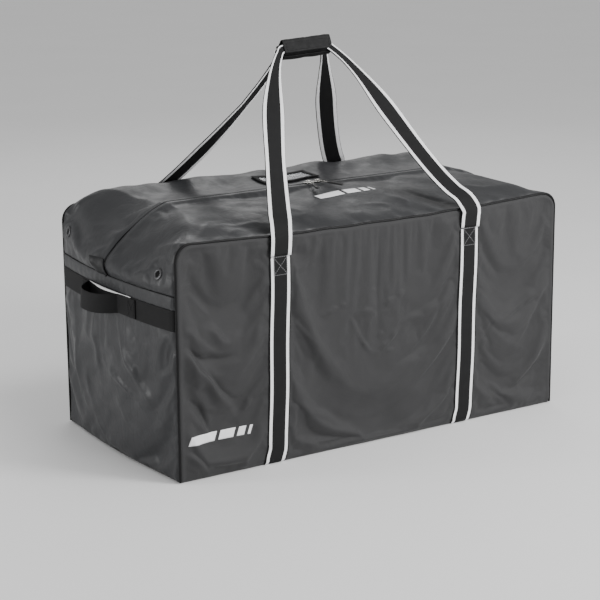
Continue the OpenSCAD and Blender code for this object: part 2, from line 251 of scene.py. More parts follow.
def sweep_part(path, across, section, size=None, closed=False):
    """Verts, faces and UVs of a section (offsets along the width and the normal) run on a path."""
    path = np.asarray(path, float)
    section = np.asarray(section, float)
    n, k = len(path), len(section)
    tangent = unit(np.gradient(path, axis=0))
    if closed:
        tangent = unit(np.roll(path, -1, 0) - np.roll(path, 1, 0))
    across = np.asarray(across, float)
    if across.ndim == 1:
        across = np.tile(across, (n, 1))
    across = square_to(across, tangent)
    normal = np.cross(tangent, across)
    size = np.ones((n, 2)) if size is None else np.asarray(size, float)
    offsets = section[None] * size[:, None]
    verts = path[:, None] + offsets[..., :1] * across[:, None] + offsets[..., 1:] * normal[:, None]
    faces = tube_faces(n, k, closed)
    if not closed:
        faces += [tuple(range(k)), tuple(range(n * k - 1, (n - 1) * k - 1, -1))]
    uvs = np.stack([np.tile(section[:, 0], (n, 1)), np.repeat(distance_along(path)[:, None], k, 1)], -1)
    return verts.reshape(-1, 3), faces, uvs.reshape(-1, 2)


def swept(*path_and_section, place=Matrix(), **settings):
    """Verts and faces of a sweep, moved to its place."""
    verts, faces, _ = sweep_part(*path_and_section, **settings)
    return [place @ Vector(v) for v in verts], faces


def sweep(name, path, across, section, materials, slots=None, size=None, closed=False):
    """Object swept along a path; slots gives the material of each side of the section."""
    verts, faces, uvs = sweep_part(path, across, section, size, closed)
    k = len(section)
    rings = len(faces) // k * k
    face_slots = None
    if slots is not None:
        face_slots = [slots[i % k] for i in range(rings)] + [0] * (len(faces) - rings)
    return add_mesh(name, verts, faces, materials, face_slots, uvs)


def circle(radius, count=10):
    turns = np.linspace(0, 2 * math.pi, count, endpoint=False)
    return np.stack([radius * np.cos(turns), radius * np.sin(turns)], 1)


def webbing_section(width=WEB_W, edge=1.5 * MM, stripe=7 * MM):
    """Flat webbing with rounded edges, and which parts of its outline are stripe (1) or not (0)."""
    half, t = width / 2, WEB_T / 2
    stops = [-half, -half + 0.6 * MM, -half + edge, -half + edge + stripe, -half / 3]
    stops += [-u for u in reversed(stops)]
    heights = [0, 0.8, 1, 1, 1, 1, 1, 1, 0.8, 0]
    top = [(u, t * h) for u, h in zip(stops, heights)]
    under = [(u, -t * h) for u, h in list(zip(stops, heights))[-2:0:-1]]
    marks = [0, 0, 1, 0, 0, 0, 1, 0, 0]
    return top + under, marks + marks[::-1]


def lathe_part(profile, place, count):
    """Verts and faces of a closed profile (radius, height) turned about Z and then placed."""
    verts = []
    for turn in np.linspace(0, 2 * math.pi, count, endpoint=False):
        for radius, height in profile:
            verts.append(place @ Vector((radius * math.cos(turn), radius * math.sin(turn), height)))
    return verts, tube_faces(count, len(profile), closed=True)


def in_mm(*points):
    """The same points in metres."""
    return [tuple(c * MM for c in point) for point in points]


# ---------------------------------------------------------------- materials


class Finish:
    """A Principled material built from noise and waves, with short calls for each node."""

    def __init__(self, name, roughness, **sockets):
        self.material = bpy.data.materials.new(name)
        self.material.use_nodes = True
        self.tree = self.material.node_tree
        self.shader = self.tree.nodes["Principled BSDF"]
        self.shader.inputs["Roughness"].default_value = roughness
        for key, value in sockets.items():
            self.shader.inputs[key.replace("_", " ")].default_value = value
        self.coords = self.tree.nodes.new("ShaderNodeTexCoord")
        self.bump_input = None

    def node(self, kind, **settings):
        made = self.tree.nodes.new(kind)
        for key, value in settings.items():
            setattr(made, key, value)
        return made

    def link(self, a, b):
        self.tree.links.new(a, b)

    def place(self, stretch=(1, 1, 1), source="Object"):
        mapping = self.node("ShaderNodeMapping")
        mapping.inputs["Scale"].default_value = stretch
        self.link(self.coords.outputs[source], mapping.inputs["Vector"])
        return mapping.outputs["Vector"]

    def noise(self, size, detail=3, rough=0.5, warp=0, stretch=(1, 1, 1), source="Object"):
        made = self.node("ShaderNodeTexNoise")
        made.inputs["Scale"].default_value = 1 / size
        made.inputs["Detail"].default_value = detail
        made.inputs["Roughness"].default_value = rough
        made.inputs["Distortion"].default_value = warp
        self.link(self.place(stretch, source), made.inputs["Vector"])
        return made.outputs["Fac"]

    def creases(self, size, width):
        """Thin lines where cells of uneven size meet."""
        made = self.node("ShaderNodeTexVoronoi", feature="DISTANCE_TO_EDGE")
        made.inputs["Scale"].default_value = 1 / size
        made.inputs["Randomness"].default_value = 1
        warp = self.node("ShaderNodeTexNoise")
        warp.inputs["Scale"].default_value = 0.6 / size
        mix = self.node("ShaderNodeVectorMath", operation="MULTIPLY_ADD")
        mix.inputs[1].default_value = (size, size, size)
        self.link(self.place(), warp.inputs["Vector"])
        self.link(warp.outputs["Color"], mix.inputs[0])
        self.link(self.coords.outputs["Object"], mix.inputs[2])
        self.link(mix.outputs["Vector"], made.inputs["Vector"])
        return self.span(made.outputs["Distance"], 0, width, 0, 1)

    def span(self, value, low, high, to_low, to_high):
        made = self.node("ShaderNodeMapRange", interpolation_type="SMOOTHSTEP")
        limits = {"From Min": low, "From Max": high, "To Min": to_low, "To Max": to_high}
        for key, number in limits.items():
            made.inputs[key].default_value = number
        self.link(value, made.inputs["Value"])
        return made.outputs["Result"]

    def math(self, operation, a, b=None):
        made = self.node("ShaderNodeMath", operation=operation)
        for socket, value in zip(made.inputs, (a, b)):
            if value is None:
                continue
            if isinstance(value, (int, float)):
                socket.default_value = value
            else:
                self.link(value, socket)
        return made.outputs["Value"]

    def waves(self, axis, period, source="UV"):
        """A sine wave along one axis of the coordinates, from 0 to 1."""
        parts = self.node("ShaderNodeSeparateXYZ")
        self.link(self.coords.outputs[source], parts.inputs["Vector"])
        turned = self.math("MULTIPLY", parts.outputs[axis], 2 * math.pi / period)
        return self.math("MULTIPLY_ADD", self.math("SINE", turned), 0.5)

    def weave(self, warp, weft, source="UV"):
        """Over and under threads: the two waves cross with opposite signs."""
        return self.math("MULTIPLY", self.waves("X", warp, source), self.waves("Y", weft, source))

    def colour(self, dark, light, value):
        ramp = self.node("ShaderNodeValToRGB")
        ramp.color_ramp.elements[0].color = (*dark, 1)
        ramp.color_ramp.elements[1].color = (*light, 1)
        self.link(value, ramp.inputs["Fac"])
        self.link(ramp.outputs["Color"], self.shader.inputs["Base Color"])

    def roughen(self, value, low, high):
        self.link(self.span(value, 0.3, 0.7, low, high), self.shader.inputs["Roughness"])

    def bump(self, height, distance, strength=1.0):
        made = self.node("ShaderNodeBump")
        made.inputs["Distance"].default_value = distance
        made.inputs["Strength"].default_value = strength
        self.link(height, made.inputs["Height"])
        if self.bump_input is not None:
            self.link(self.bump_input, made.inputs["Normal"])
        self.bump_input = made.outputs["Normal"]
        self.link(self.bump_input, self.shader.inputs["Normal"])


def grey(level, blue=0.0):
    """A grey as a colour, with a little more blue in it."""
    return [level, level, level + blue]


def coated_cloth(name="coated cloth", shade=0.76, specular=0.26):
    """Satin vinyl-coated cloth: soft dents, fine creases and the base cloth's grain."""
    f = Finish(name, 0.42, Specular_IOR_Level=specular)
    f.colour([0.030 * shade, 0.031 * shade, 0.033 * shade],
             [0.043 * shade, 0.044 * shade, 0.047 * shade], f.noise(0.05, 4, 0.6))
    f.roughen(f.noise(0.03, 4, 0.6), 0.38, 0.50)
    f.bump(f.noise(0.06, 3, 0.45, warp=0.6), 2.4 * MM, 0.55)
    f.bump(f.noise(0.018, 4, 0.5, warp=1.2), 0.7 * MM, 0.5)
    f.bump(f.creases(0.034, 0.10), 0.25 * MM, 0.45)
    f.bump(f.noise(0.0011, 2, 0.5), 0.05 * MM, 0.6)
    return f.material


def lining_cloth():
    """Dull woven lining on the inside of the cloth."""
    f = Finish("lining", 0.7, Sheen_Weight=0.1)
    f.colour(grey(0.010, 0.001), grey(0.018, 0.001), f.noise(0.02, 3))
    f.bump(f.weave(1.1 * MM, 1.1 * MM, "Object"), 0.12 * MM, 0.7)
    f.bump(f.noise(0.03, 3), 0.8 * MM, 0.4)
    return f.material


def woven_web(name, dark, light):
    """Webbing: ribs across it, with the yarn ends showing along each rib."""
    f = Finish(name, 0.72, Specular_IOR_Level=0.2)
    f.colour(dark, light, f.math("ADD", f.weave(2.1 * MM, 1.5 * MM), f.noise(0.02, 3, source="UV")))
    f.bump(f.waves("Y", 1.5 * MM), 0.22 * MM, 0.6)
    f.bump(f.waves("X", 2.1 * MM), 0.12 * MM, 0.5)
    f.bump(f.noise(0.0007, 2), 0.08 * MM, 0.5)
    return f.material


def vinyl(name, dark, light, grain=1.6 * MM, roughness=0.4, specular=0.4):
    """Leather-grained vinyl."""
    f = Finish(name, roughness, Specular_IOR_Level=specular)
    f.colour(dark, light, f.noise(0.012, 3))
    f.bump(f.creases(grain, 0.25), 0.12 * MM, 0.5)
    f.bump(f.noise(0.012, 3, 0.5), 0.5 * MM, 0.35)
    f.roughen(f.noise(0.01, 3), roughness - 0.05, roughness + 0.08)
    return f.material


def plated_metal(name, colour, roughness):
    """Plated metal with fine brush marks and uneven polish."""
    f = Finish(name, roughness, Metallic=1.0)
    f.colour([c * 0.8 for c in colour], colour, f.noise(0.004, 3))
    f.roughen(f.noise(0.003, 4), roughness - 0.06, roughness + 0.1)
    f.bump(f.noise(0.0009, 3, stretch=(1, 6, 1)), 0.02 * MM, 0.4)
    return f.material


def moulded(name, dark, light, roughness=0.5, grain=0.5 * MM):
    """Moulded plastic with a fine texture."""
    f = Finish(name, roughness)
    f.colour(dark, light, f.noise(0.006, 3))
    f.bump(f.noise(grain, 2), 0.05 * MM, 0.5)
    f.roughen(f.noise(0.01, 3), roughness - 0.06, roughness + 0.06)
    return f.material


def clear_film():
    """Clear plastic film with soft waves in it and a glossy coat; its pale colour, a third opaque, is a
    painted sheen.
    """
    f = Finish("clear film", 0.08, Transmission_Weight=0.0, Alpha=0.32, IOR=1.5, Coat_Weight=0.5,
               Coat_Roughness=0.05)
    # Pale colour, a third opaque over the card: painted sheen of the window.
    f.colour([0.75, 0.77, 0.80], [0.9, 0.92, 0.94], f.noise(0.02, 3))
    f.bump(f.noise(0.022, 3, warp=1.4), 3.0 * MM, 0.8)
    f.bump(f.creases(0.02, 0.15), 0.3 * MM, 0.5)
    return f.material


def fuzzy(name, dark, light):
    """Hook and loop tape: dull, with a rough nap; also the near-black painted shade in each eyelet's
    hole.
    """
    f = Finish(name, 0.9, Specular_IOR_Level=0.2)
    f.colour(dark, light, f.noise(0.0015, 3))
    f.bump(f.noise(0.0006, 3), 0.3 * MM, 0.9)
    return f.material


CLOTH = coated_cloth()
LINING = lining_cloth()
WEB = woven_web("black webbing", grey(0.0035, 0.0002), grey(0.009, 0.0004))
STRIPE = woven_web("pale webbing", grey(0.78, 0.01), grey(0.94, 0.01))
TAPE = woven_web("binding tape", grey(0.005), grey(0.011, 0.0005))
PIPING = vinyl("piping vinyl", grey(0.003, 0.0003), grey(0.006, 0.0005), roughness=0.40, specular=0.18)
WRAP = vinyl("wrap vinyl", grey(0.005, 0.0002), grey(0.010, 0.0004), 2.2 * MM, 0.58, 0.2)
TAB = coated_cloth("tab cloth", 0.30, 0.2)
THREAD = woven_web("grey thread", grey(0.20, 0.01), grey(0.36, 0.01))
DARK_THREAD = woven_web("dark thread", grey(0.010), grey(0.024, 0.001))
NICKEL = plated_metal("nickel plate", [0.40, 0.39, 0.37], 0.24)
GUNMETAL = plated_metal("gunmetal", grey(0.09, 0.003), 0.38)
NYLON = moulded("nylon coil", grey(0.006), grey(0.013), 0.4)
GRIP = moulded("soft moulding", grey(0.008), grey(0.016), 0.55)
BOARD = moulded("base board", grey(0.010), grey(0.020), 0.6, 2.0 * MM)
CARD = moulded("blank card", grey(0.06, 0.002), grey(0.12, 0.002), 0.7)
FILM = clear_film()
# Near-black fastener tape; the same material on the disc in each eyelet's hole is painted shade.
HOOKS_AND_HOLE_SHADE = fuzzy("hook and loop", grey(0.003), grey(0.008))
PRINT = moulded("white print", grey(0.78, 0.01), grey(0.88, 0.01), 0.5, 1.0 * MM)

# ---------------------------------------------------------------- form of the bag


def crown(y):
    """1 over the middle of the bag and 0 at the front and back seams."""
    return 1 - np.minimum(np.abs(y) / SIDE_Y, 1)**2


SEAM_DIP = {"front": 10 * MM, "back": 1.5 * MM}
END_STATIONS = 26                # points on a line over one end
RUN_STATIONS = 112               # and along the level run between them


def seam_top(x, half):
    """Height of the front or back top seam, which dips between the corners."""
    middle = np.clip(1 - (x / 0.43)**2, 0, 1)
    return TOP_Z - (SEAM_DIP[half] - 0.9 * MM * ripples(x, 0 * x, 0.12, 5)) * middle


def face_top(x, half):
    """Height of the face's outline over x, with its round corners."""
    over = np.clip(np.abs(x) - (HALF_L - CORNER_R), 0, CORNER_R)
    return seam_top(x, half) - CORNER_R + np.sqrt(np.maximum(CORNER_R**2 - over**2, 0))


def end_bulge(z):
    """How far an end stands out at its middle: it bulges most at its seam."""
    return BOW * (0.55 + 0.6 * ease(z / SEAM_Z))


def end_surface(y, z):
    """How far out an end stands below its seam, for the right-hand end."""
    return HALF_L + end_bulge(z) * crown(y) + 0.5 * MM


RIGHT_RISE = [0, 0, 0, 1, 4, 7, 8, 7, 4, 1, 0]           # how much fuller the right end is (mm)


def zip_line(side):
    """X and Z of the cloth beside the zip, from an end's seam up to the straight run."""
    foot = end_surface(0, SEAM_Z)
    points = [(foot, SEAM_Z), (foot + 7 * MM, SEAM_Z + 13 * MM), (foot + 8 * MM, SEAM_Z + 24 * MM),
              (foot + 2 * MM, SEAM_Z + 36 * MM), (0.476, 0.425), (0.457, 0.443), (0.435, 0.461),
              (0.412, 0.478), (0.390, 0.4915), (0.369, 0.5015), (SLIDE_END, ZIP_Z)]
    if side > 0:
        points = [(x + k * MM, z + k * MM) for (x, z), k in zip(points, RIGHT_RISE)]
    return smooth_line(points, END_STATIONS) * (side, 1)


def corner_line(side, half):
    """X and Z of the top's outer edge, from an end's seam up round the face's corner."""
    turns = np.linspace(0, math.pi / 2, 9)
    x = HALF_L - CORNER_R + CORNER_R * np.cos(turns)
    z = seam_top(x, half) - CORNER_R + CORNER_R * np.sin(turns)
    points = np.vstack([[[HALF_L, SEAM_Z]], np.stack([x, z], 1)])
    return resample(points, END_STATIONS) * (side, 1)


def over_the_bag(left, right, level):
    """A line from the left seam over the top to the right one, with a level middle run."""
    x = np.linspace(left[-1, 0], right[-1, 0], RUN_STATIONS)
    run = np.stack([x, level(x)], 1)
    return np.vstack([left, run[1:-1], right[::-1]])


def outer_edge(half):
    """X and Z of the top's sewn edge, from one end's seam to the other's."""
    return over_the_bag(corner_line(-1, half), corner_line(1, half), lambda x: seam_top(x, half))


def zip_edge_line():
    """X and Z of the cloth beside the zip, from one end's seam to the other's."""
    return over_the_bag(zip_line(-1), zip_line(1), lambda x: 0 * x + ZIP_Z)


def fullness(y, half):
    """How far a top half has risen from its seam: the back half is packed fuller and boxier."""
    r = np.minimum(np.abs(y) / SIDE_Y, 1)
    return 1 - r**2.3 if half == "front" else (1 - r**6)**0.6


def lip(x):
    """Half the gap between the two cloth edges: open by the sliders, closed down the ends."""
    eye = 4.5 * MM * bell(x - 0.012, 0.040)
    foot = 2.2 * MM * ease((np.abs(x) - 0.470) / 0.020)
    return 1.0 * MM + 1.1 * MM * ease((0.385 - np.abs(x)) / 0.045) + eye + foot


def top_surface(half):
    """Grid of one half of the top: rows along the bag, columns from the seam to the zip.

    Both halves are built at the front; the back one is mirrored later.
    """
    edge, middle = outer_edge(half), zip_edge_line()
    share = np.concatenate([[0, 0.010, 0.024, 0.042], np.linspace(0.064, 0.955, 34), [0.972, 0.986, 1]])
    y = -(SIDE_Y + (lip(middle[:, 0])[:, None] - SIDE_Y) * share[None])
    out = np.stack([crown(y), fullness(y, half)], -1)
    across = edge[:, None] + (middle - edge)[:, None] * out
    points = np.stack([across[..., 0], y, across[..., 1]], -1)
    return swollen(points) if half == "back" else points


def swollen(points):
    """The back half's fuller form: a long swell beside its seam and one more at each end."""
    x, y = points[..., 0], points[..., 1]
    r = np.minimum(np.abs(y) / SIDE_Y, 1)
    height = 17 - 3 * ease((np.abs(x) - 0.36) / 0.04)
    swell = height * MM * bell(r - 0.76, 0.22) * (1 - r**6)
    corner = 12 * MM * bell(np.abs(x) - 0.462, 0.030) * np.sin(math.pi * r)**0.45
    points[..., 2] += (swell + corner) * ease((points[..., 2] - SEAM_Z) / (90 * MM))
    points[..., 0] += 0.5 * np.sign(x) * corner * ease((points[..., 2] - SEAM_Z) / (60 * MM))
    return points


# ---------------------------------------------------------------- folds


STEEP_SIDE = 0.45                # width of a fold's steep side, as a share of the other


def fold(points, normals, line, width, height):
    """Raises a ridge along a line of 3D points, steeper on its far side."""
    wander = ripples(points[..., 0] + points[..., 1], points[..., 2], 0.07, 3)
    base = points + 4 * MM * wander[..., None]
    line = smooth_line(line, 24)
    best = np.full(points.shape[:2], 1e9)
    side = np.zeros(points.shape[:2])
    along = np.zeros(points.shape[:2])
    for i in range(len(line) - 1):
        a, d = line[i], line[i + 1] - line[i]
        t = np.clip(((base - a) @ d) / (d @ d), 0, 1)
        off = base - (a + t[..., None] * d)
        distance = np.linalg.norm(off, axis=-1)
        near = distance < best
        best = np.where(near, distance, best)
        turned = (np.cross(np.broadcast_to(d, off.shape), normals) * off).sum(-1)
        side = np.where(near, turned, side)
        along = np.where(near, (i + t) / (len(line) - 1), along)
    spread = np.where(side > 0, width, width * STEEP_SIDE)
    taper = np.sin(math.pi * np.clip(along, 0.03, 0.97))**0.7
    return points + normals * (height * taper * bell(best, spread))[..., None]


def folded(points, normals, folds, gain):
    """Raises every fold of a list; gain makes them all deeper."""
    for line, width, height in folds:
        points = fold(points, normals, line, width * MM, height * gain * MM)
    return points


def on_face(x, z):
    return x * MM, -HALF_W, z * MM


def on_end(y, z):
    return -HALF_L - BOW, y * MM, z * MM


def on_top(x, y):
    return x * MM, y * MM, TOP_Z + 10 * MM


def on_skirt(x, y, z):
    return x * MM, y * MM, z * MM


def folds_on(place, rows):
    """Lines, widths and heights of folds, from rows of width, height and points (all in mm)."""
    return [([place(*point) for point in line], width, height) for width, height, *line in rows]


FACE_FOLDS = folds_on(on_face, [
    (20, 6.0, (-462, 268), (-410, 205), (-345, 130)),
    (13, -3.5, (-465, 276), (-410, 250), (-345, 238)),
    (18, 2.5, (-435, 300), (-380, 290), (-330, 270)),
    (12, -2.5, (-460, 225), (-420, 150), (-385, 90)),
    (5, 2.4, (-311, 150), (-312, 132), (-337, 112)),
    (10, 2.6, (-462, 75), (-430, 40), (-400, 12)),
    (6, 2.2, (-66, 282), (-40, 225), (4, 196)),
    (6, 2.6, (4, 196), (40, 225), (67, 250)),
    (5, 1.8, (22, 190), (55, 205), (73, 232)),
    (5, 1.8, (-46, 340), (-24, 322), (-4, 328)),
    (6, 2.2, (12, 306), (37, 298), (73, 316)),
    (5, 1.7, (-138, 298), (-108, 299), (-75, 308)),
    (9, 1.6, (-74, 295), (-10, 282), (40, 275)),
    (4, 1.5, (-14, 241), (6, 232), (27, 233)),
    (4, 1.4, (-18, 270), (-12, 254), (-10, 238)),
    (4, 1.4, (322, 424), (324, 414), (312, 405)),
    (7, 1.8, (290, 210), (280, 188), (262, 168)),
    (17, 3.4, (458, 170), (420, 110), (360, 60)),
    (14, 2.2, (450, 268), (380, 240), (310, 205)),
    (16, 2.6, (60, 250), (130, 262), (208, 286)),
    (16, 2.4, (50, 150), (120, 176), (206, 215)),
    (18, 2.2, (-190, 120), (-120, 70), (-50, 30)),
    (20, 1.6, (-200, 330), (-150, 240), (-170, 150)),
])

END_FOLDS = folds_on(on_end, [
    (17, 7.0, (-30, 300), (-55, 250), (-107, 200), (-205, 105)),
    (10, 5.0, (32, 192), (-30, 172), (-88, 156), (-150, 125)),
    (15, 3.6, (65, 290), (58, 220), (45, 150)),
    (13, 4.5, (105, 98), (50, 50), (-20, 14)),
    (12, 3.0, (110, 160), (112, 120), (100, 90)),
    (9, 3.5, (-225, 270), (-208, 215), (-222, 190)),
    (6, 2.5, (-205, 298), (-222, 290), (-231, 284)),
    (18, 3.0, (165, 250), (150, 150), (160, 60)),
    (14, 2.8, (-130, 290), (-150, 240), (-200, 190)),
    (14, 3.0, (-20, 130), (-80, 85), (-160, 50)),
])

SKIRT_FOLDS = folds_on(on_skirt, [
    (11, 4.4, (-489, -22, 418), (-473, -61, 459), (-436, -82, 492)),
    (12, 4.8, (-491, -62, 398), (-477, -124, 452), (-448, -169, 484)),
    (10, 4.4, (-491, -101, 380), (-483, -168, 435), (-461, -220, 472)),
    (8, 3.6, (-487, -158, 385), (-482, -200, 430), (-470, -231, 460)),
    (12, 3.0, (-459, -27, 474), (-427, -41, 498), (-379, -40, 511)),
    (9, 3.4, (-480, -104, 441), (-454, -132, 480), (-415, -159, 497)),
    (7, 2.4, (-490, -145, 372), (-480, -195, 400), (-474, -226, 425)),
])

FRONT_TOP_FOLDS = folds_on(on_top, [
    (6, 3.0, (-436, -225), (-370, -219), (-290, -226)),
    (9, 3.4, (-398, -205), (-340, -150), (-285, -140)),
    (7, 3.0, (-370, -180), (-290, -172), (-215, -178)),
    (5, 2.8, (-350, -225), (-310, -200), (-268, -216)),
    (5, 2.6, (-302, -200), (-306, -215), (-300, -232)),
    (12, 3.2, (-290, -40), (-220, -60), (-150, -55)),
    (10, 3.0, (-180, -100), (-140, -150), (-126, -222)),
    (4, 2.6, (-116, -205), (-122, -220), (-118, -234)),
    (5, 3.6, (-20, -190), (-40, -210), (-55, -232)),
    (5, 3.2, (4, -180), (-12, -210), (-34, -233)),
    (7, 3.6, (74, -195), (40, -215), (14, -233)),
    (14, 4.5, (105, -100), (120, -160), (100, -225)),
    (13, -4.0, (150, -90), (185, -150), (215, -215)),
    (9, 2.8, (20, -150), (70, -170), (90, -225)),
    (14, 2.2, (260, -120), (330, -160), (400, -180)),
    (4, 2.2, (300, -210), (305, -222), (300, -234)),
    (4, 2.0, (350, -212), (356, -224), (352, -234)),
])

BACK_TOP_FOLDS = folds_on(on_top, [
    (9, 4.0, (-161, 190), (-108, 200), (-54, 124)),
    (12, 3.6, (-275, 114), (-190, 85), (-100, 70)),
    (6, 3.0, (-254, 60), (-205, 50), (-155, 48)),
    (13, 2.6, (-360, 100), (-290, 50), (-230, 20)),
    (11, 2.8, (90, 120), (140, 80), (200, 50)),
    (14, 3.0, (180, 200), (240, 130), (320, 90)),
])

BACK_SKIRT_FOLDS = folds_on(on_skirt, [
    (12, 4.2, (-482, -125, 442), (-464, -70, 477), (-428, -22, 503)),
    (11, 4.4, (-492, -155, 405), (-490, -99, 430), (-480, -50, 455)),
    (11, 4.0, (-484, -215, 445), (-466, -200, 480), (-420, -178, 505)),
    (8, 3.6, (-493, -75, 392), (-493, -42, 412), (-485, -12, 443)),
    (9, 3.0, (-490, -190, 385), (-490, -150, 395), (-492, -100, 400)),
    (12, 4.0, (490, -90, 400), (478, -140, 430), (450, -190, 470)),
    (11, 3.6, (470, -40, 450), (440, -80, 480), (390, -130, 500)),
])


def mirrored(folds, x=1, y=1):
    """The same folds, mirrored along X, Y or both."""
    return [([(px * x, py * y, pz) for px, py, pz in line], *size) for line, *size in folds]


# ---------------------------------------------------------------- cloth panels

DENT_SIZES = 0.16, 0.055
DENT_DEPTHS = 2.6 * MM, 0.9 * MM
LET_OUT = 0.018                  # how much larger the cloth is than its frame of seams
REACH_OUT = 7 * MM               # how far a point may move
STEPS = 22
HELD = 0.02                      # cloth that is less free than this is held
LIFT_OFF = 1.5 * MM              # height of a panel's lower edge
PANELS = []


def cloth_panel(name, points, held, flip):
    """Object of one sheet of cloth, with the points that its seams hold in a group."""
    obj = grid_mesh(name, points, [CLOTH, LINING], flip)
    group = obj.vertex_groups.new(name="held")
    group.add([int(i) for i in np.flatnonzero(held.ravel())], 1.0, "REPLACE")
    PANELS.append(obj)
    return obj


def dented(points, normals, hold, seed, small_share=1.0):
    """Soft dents of two sizes, fading towards the held edges."""
    u = points[..., 0] + 0.7 * points[..., 1]
    v = points[..., 2] + 0.5 * points[..., 1]
    for k, (size, depth, share) in enumerate(zip(DENT_SIZES, DENT_DEPTHS, (1, small_share))):
        points = points + normals * (depth * share * hold * ripples(u, v, size, seed + k))[..., None]
    return points


def face_panel(name, half, seed, folds, columns, rows):
    """Front or back panel: let in behind the piping, with its turned edge showing as a low ridge.

    Both are built at the front; the back one is mirrored later.
    """
    turns = np.linspace(0, math.pi / 2, 7)[1:]
    reach = HALF_L - 3.5 * MM
    corner = reach - CORNER_R + CORNER_R * np.sin(turns)
    xs = np.concatenate([-corner[::-1], np.linspace(-corner[0], corner[0], columns)[1:-1], corner])
    shares = np.concatenate([[0, 0.008, 0.02], np.linspace(0.036, 0.955, rows), [0.97, 0.982, 0.992, 1]])
    top = face_top(xs * (HALF_L - 0.2 * MM) / reach, half) - 2.5 * MM
    z = LIFT_OFF + (top[:, None] - LIFT_OFF) * shares[None]
    x = np.repeat(xs[:, None], len(shares), 1)
    inset = np.minimum(reach + 2 * MM - np.abs(x), top[:, None] - z)
    upper = np.sqrt(np.clip(np.abs(x) - (reach - CORNER_R), 0, None)**2
                    + np.clip(z - (top.max() - CORNER_R), 0, None)**2)
    inset = np.where(upper > 0.6 * CORNER_R, np.minimum(inset, CORNER_R - upper + 2 * MM), inset)
    inset = np.clip(inset, 0, None)
    ridge = 1.6 * MM * bell(inset - 6 * MM, 3.6 * MM)
    groove = 0.9 * MM * bell(inset - 12.5 * MM, 2.4 * MM)
    turn_in = 4.5 * MM * np.exp(-inset / (2.6 * MM))
    under = 5 * MM * ease((9 * MM - z) / (9 * MM))
    y = -(HALF_W - 0.9 * MM + ridge - groove - turn_in - under)
    points = np.stack([x, y, z], -1)
    normals = np.broadcast_to(np.array([0, -1.0, 0]), points.shape)
    free = ease((inset - 10 * MM) / (30 * MM)) * ease((z - 6 * MM) / (30 * MM))
    from_strap = np.abs(np.abs(x - strap_lean(z)) - STRAP_X) - WEB_W / 2
    sewn = np.minimum(ease(from_strap / (16 * MM)) + (z > STITCH_HIGH), 1)
    free = free * sewn
    raised = folded(points, normals, folds, 2.7)
    points = points + (raised - points) * np.maximum(free, 0.25 * sewn * (inset > 4 * MM))[..., None]
    points = dented(points, normals, free, seed, 0.5)
    held = (free < HELD) | (inset < 5 * MM)
    held[[0, -1], :] = True
    held[:, [0, -1]] = True
    return cloth_panel(name, points, held, flip=True)


def end_panel(name, seed, folds):
    """The left end below its seam, bowed out between its corners."""
    ys = np.concatenate([[-1, -0.985], np.linspace(-0.965, 0.965, 76), [0.985, 1]]) * SIDE_Y
    zs = np.concatenate([[LIFT_OFF, 0.004, 0.008], np.linspace(0.014, SEAM_Z, 60)])
    y, z = np.meshgrid(ys, zs, indexing="ij")
    under = 5 * MM * ease((10 * MM - z) / (10 * MM))
    seam = SIDE_Y - np.abs(y)
    edge = 3.5 * MM * np.exp(-seam / (3 * MM))
    puckers = 1 + 0.7 * ripples(z, 0 * z, 0.045, seed + 5)
    ridge = 1.6 * MM * puckers * bell(seam - 8 * MM, 4.5 * MM)
    x = -(end_surface(y, z) - under - edge + ridge)
    points = np.stack([x, y, z], -1)
    normals = grid_normals(points, flip=True)
    free = ease((SIDE_Y - np.abs(y)) / (26 * MM)) * ease((z - 4 * MM) / (26 * MM))
    free = free * ease((BAND_LOW - 2 * MM - z) / (18 * MM))
    raised = folded(points, normals, folds, 1.35)
    points = points + (raised - points) * np.maximum(free, 0.3 * (z < BAND_LOW - 4 * MM))[..., None]
    points = dented(points, normals, free, seed)
    return cloth_panel(name, points, free < HELD, flip=True)


def top_panel(name, half, seed, folds):
    """One half of the top, with the skirts that it drops over both ends."""
    points = top_surface(half)
    normals = grid_normals(points)
    x, y, z = points[..., 0], points[..., 1], points[..., 2]
    seam = SIDE_Y - np.abs(y)
    zip_edge = np.abs(y) - lip(x)
    foot = np.clip(z - SEAM_Z, 0, None) + 0.2 * (np.abs(x) < HALF_L - 20 * MM)
    free = ease(seam / (22 * MM)) * ease((zip_edge - 9 * MM) / (20 * MM)) * ease(foot / (20 * MM))
    on_skirt = ease((np.abs(x) - HALF_L + 25 * MM) / (20 * MM))
    vent_y, vent_z = vent_spot(-1 if half == "front" else 1)
    from_vent = np.hypot(np.abs(y) - abs(vent_y), z - vent_z) + 40 * MM * (1 - on_skirt)
    free = free * ease((from_vent - 16 * MM) / (20 * MM))
    gathers = ripples(x + 1.3 * z, 0 * x, 0.032, seed + 7)
    gathers = gathers * np.exp(-seam / (18 * MM)) * ease(seam / (3 * MM))
    ridge = 1.3 * MM * bell(seam - 7 * MM, 4 * MM)
    lift = (1.9 * MM * gathers * (1 - 0.6 * on_skirt) + ridge) * ease((z - SEAM_Z) / (25 * MM))
    points = points + normals * lift[..., None]
    turn_in = 3.0 * MM * np.exp(-seam / (3.0 * MM)) + 1.2 * MM * np.exp(-zip_edge / (1.6 * MM))
    stitched = 0.8 * MM * bell(zip_edge - 7 * MM, 1.8 * MM)
    points = points - normals * (turn_in + stitched)[..., None]
    raised = folded(points, normals, folds, 1.35)
    loose = ease(seam / (5 * MM)) * ease(zip_edge / (5 * MM)) * ease(foot / (5 * MM))
    points = points + (raised - points) * np.maximum(free, 0.4 * loose)[..., None]
    points = dented(points, normals, free, seed)
    return cloth_panel(name, points, free < HELD, flip=False)


CLOTH_SETTINGS = {
    "quality": 6, "mass": 0.25, "tension_stiffness": 30, "compression_stiffness": 30,
    "shear_stiffness": 12, "bending_stiffness": 0.2, "vertex_group_mass": "held",
    "shrink_min": -LET_OUT, "use_pressure": True, "uniform_pressure_force": 0.4,
}


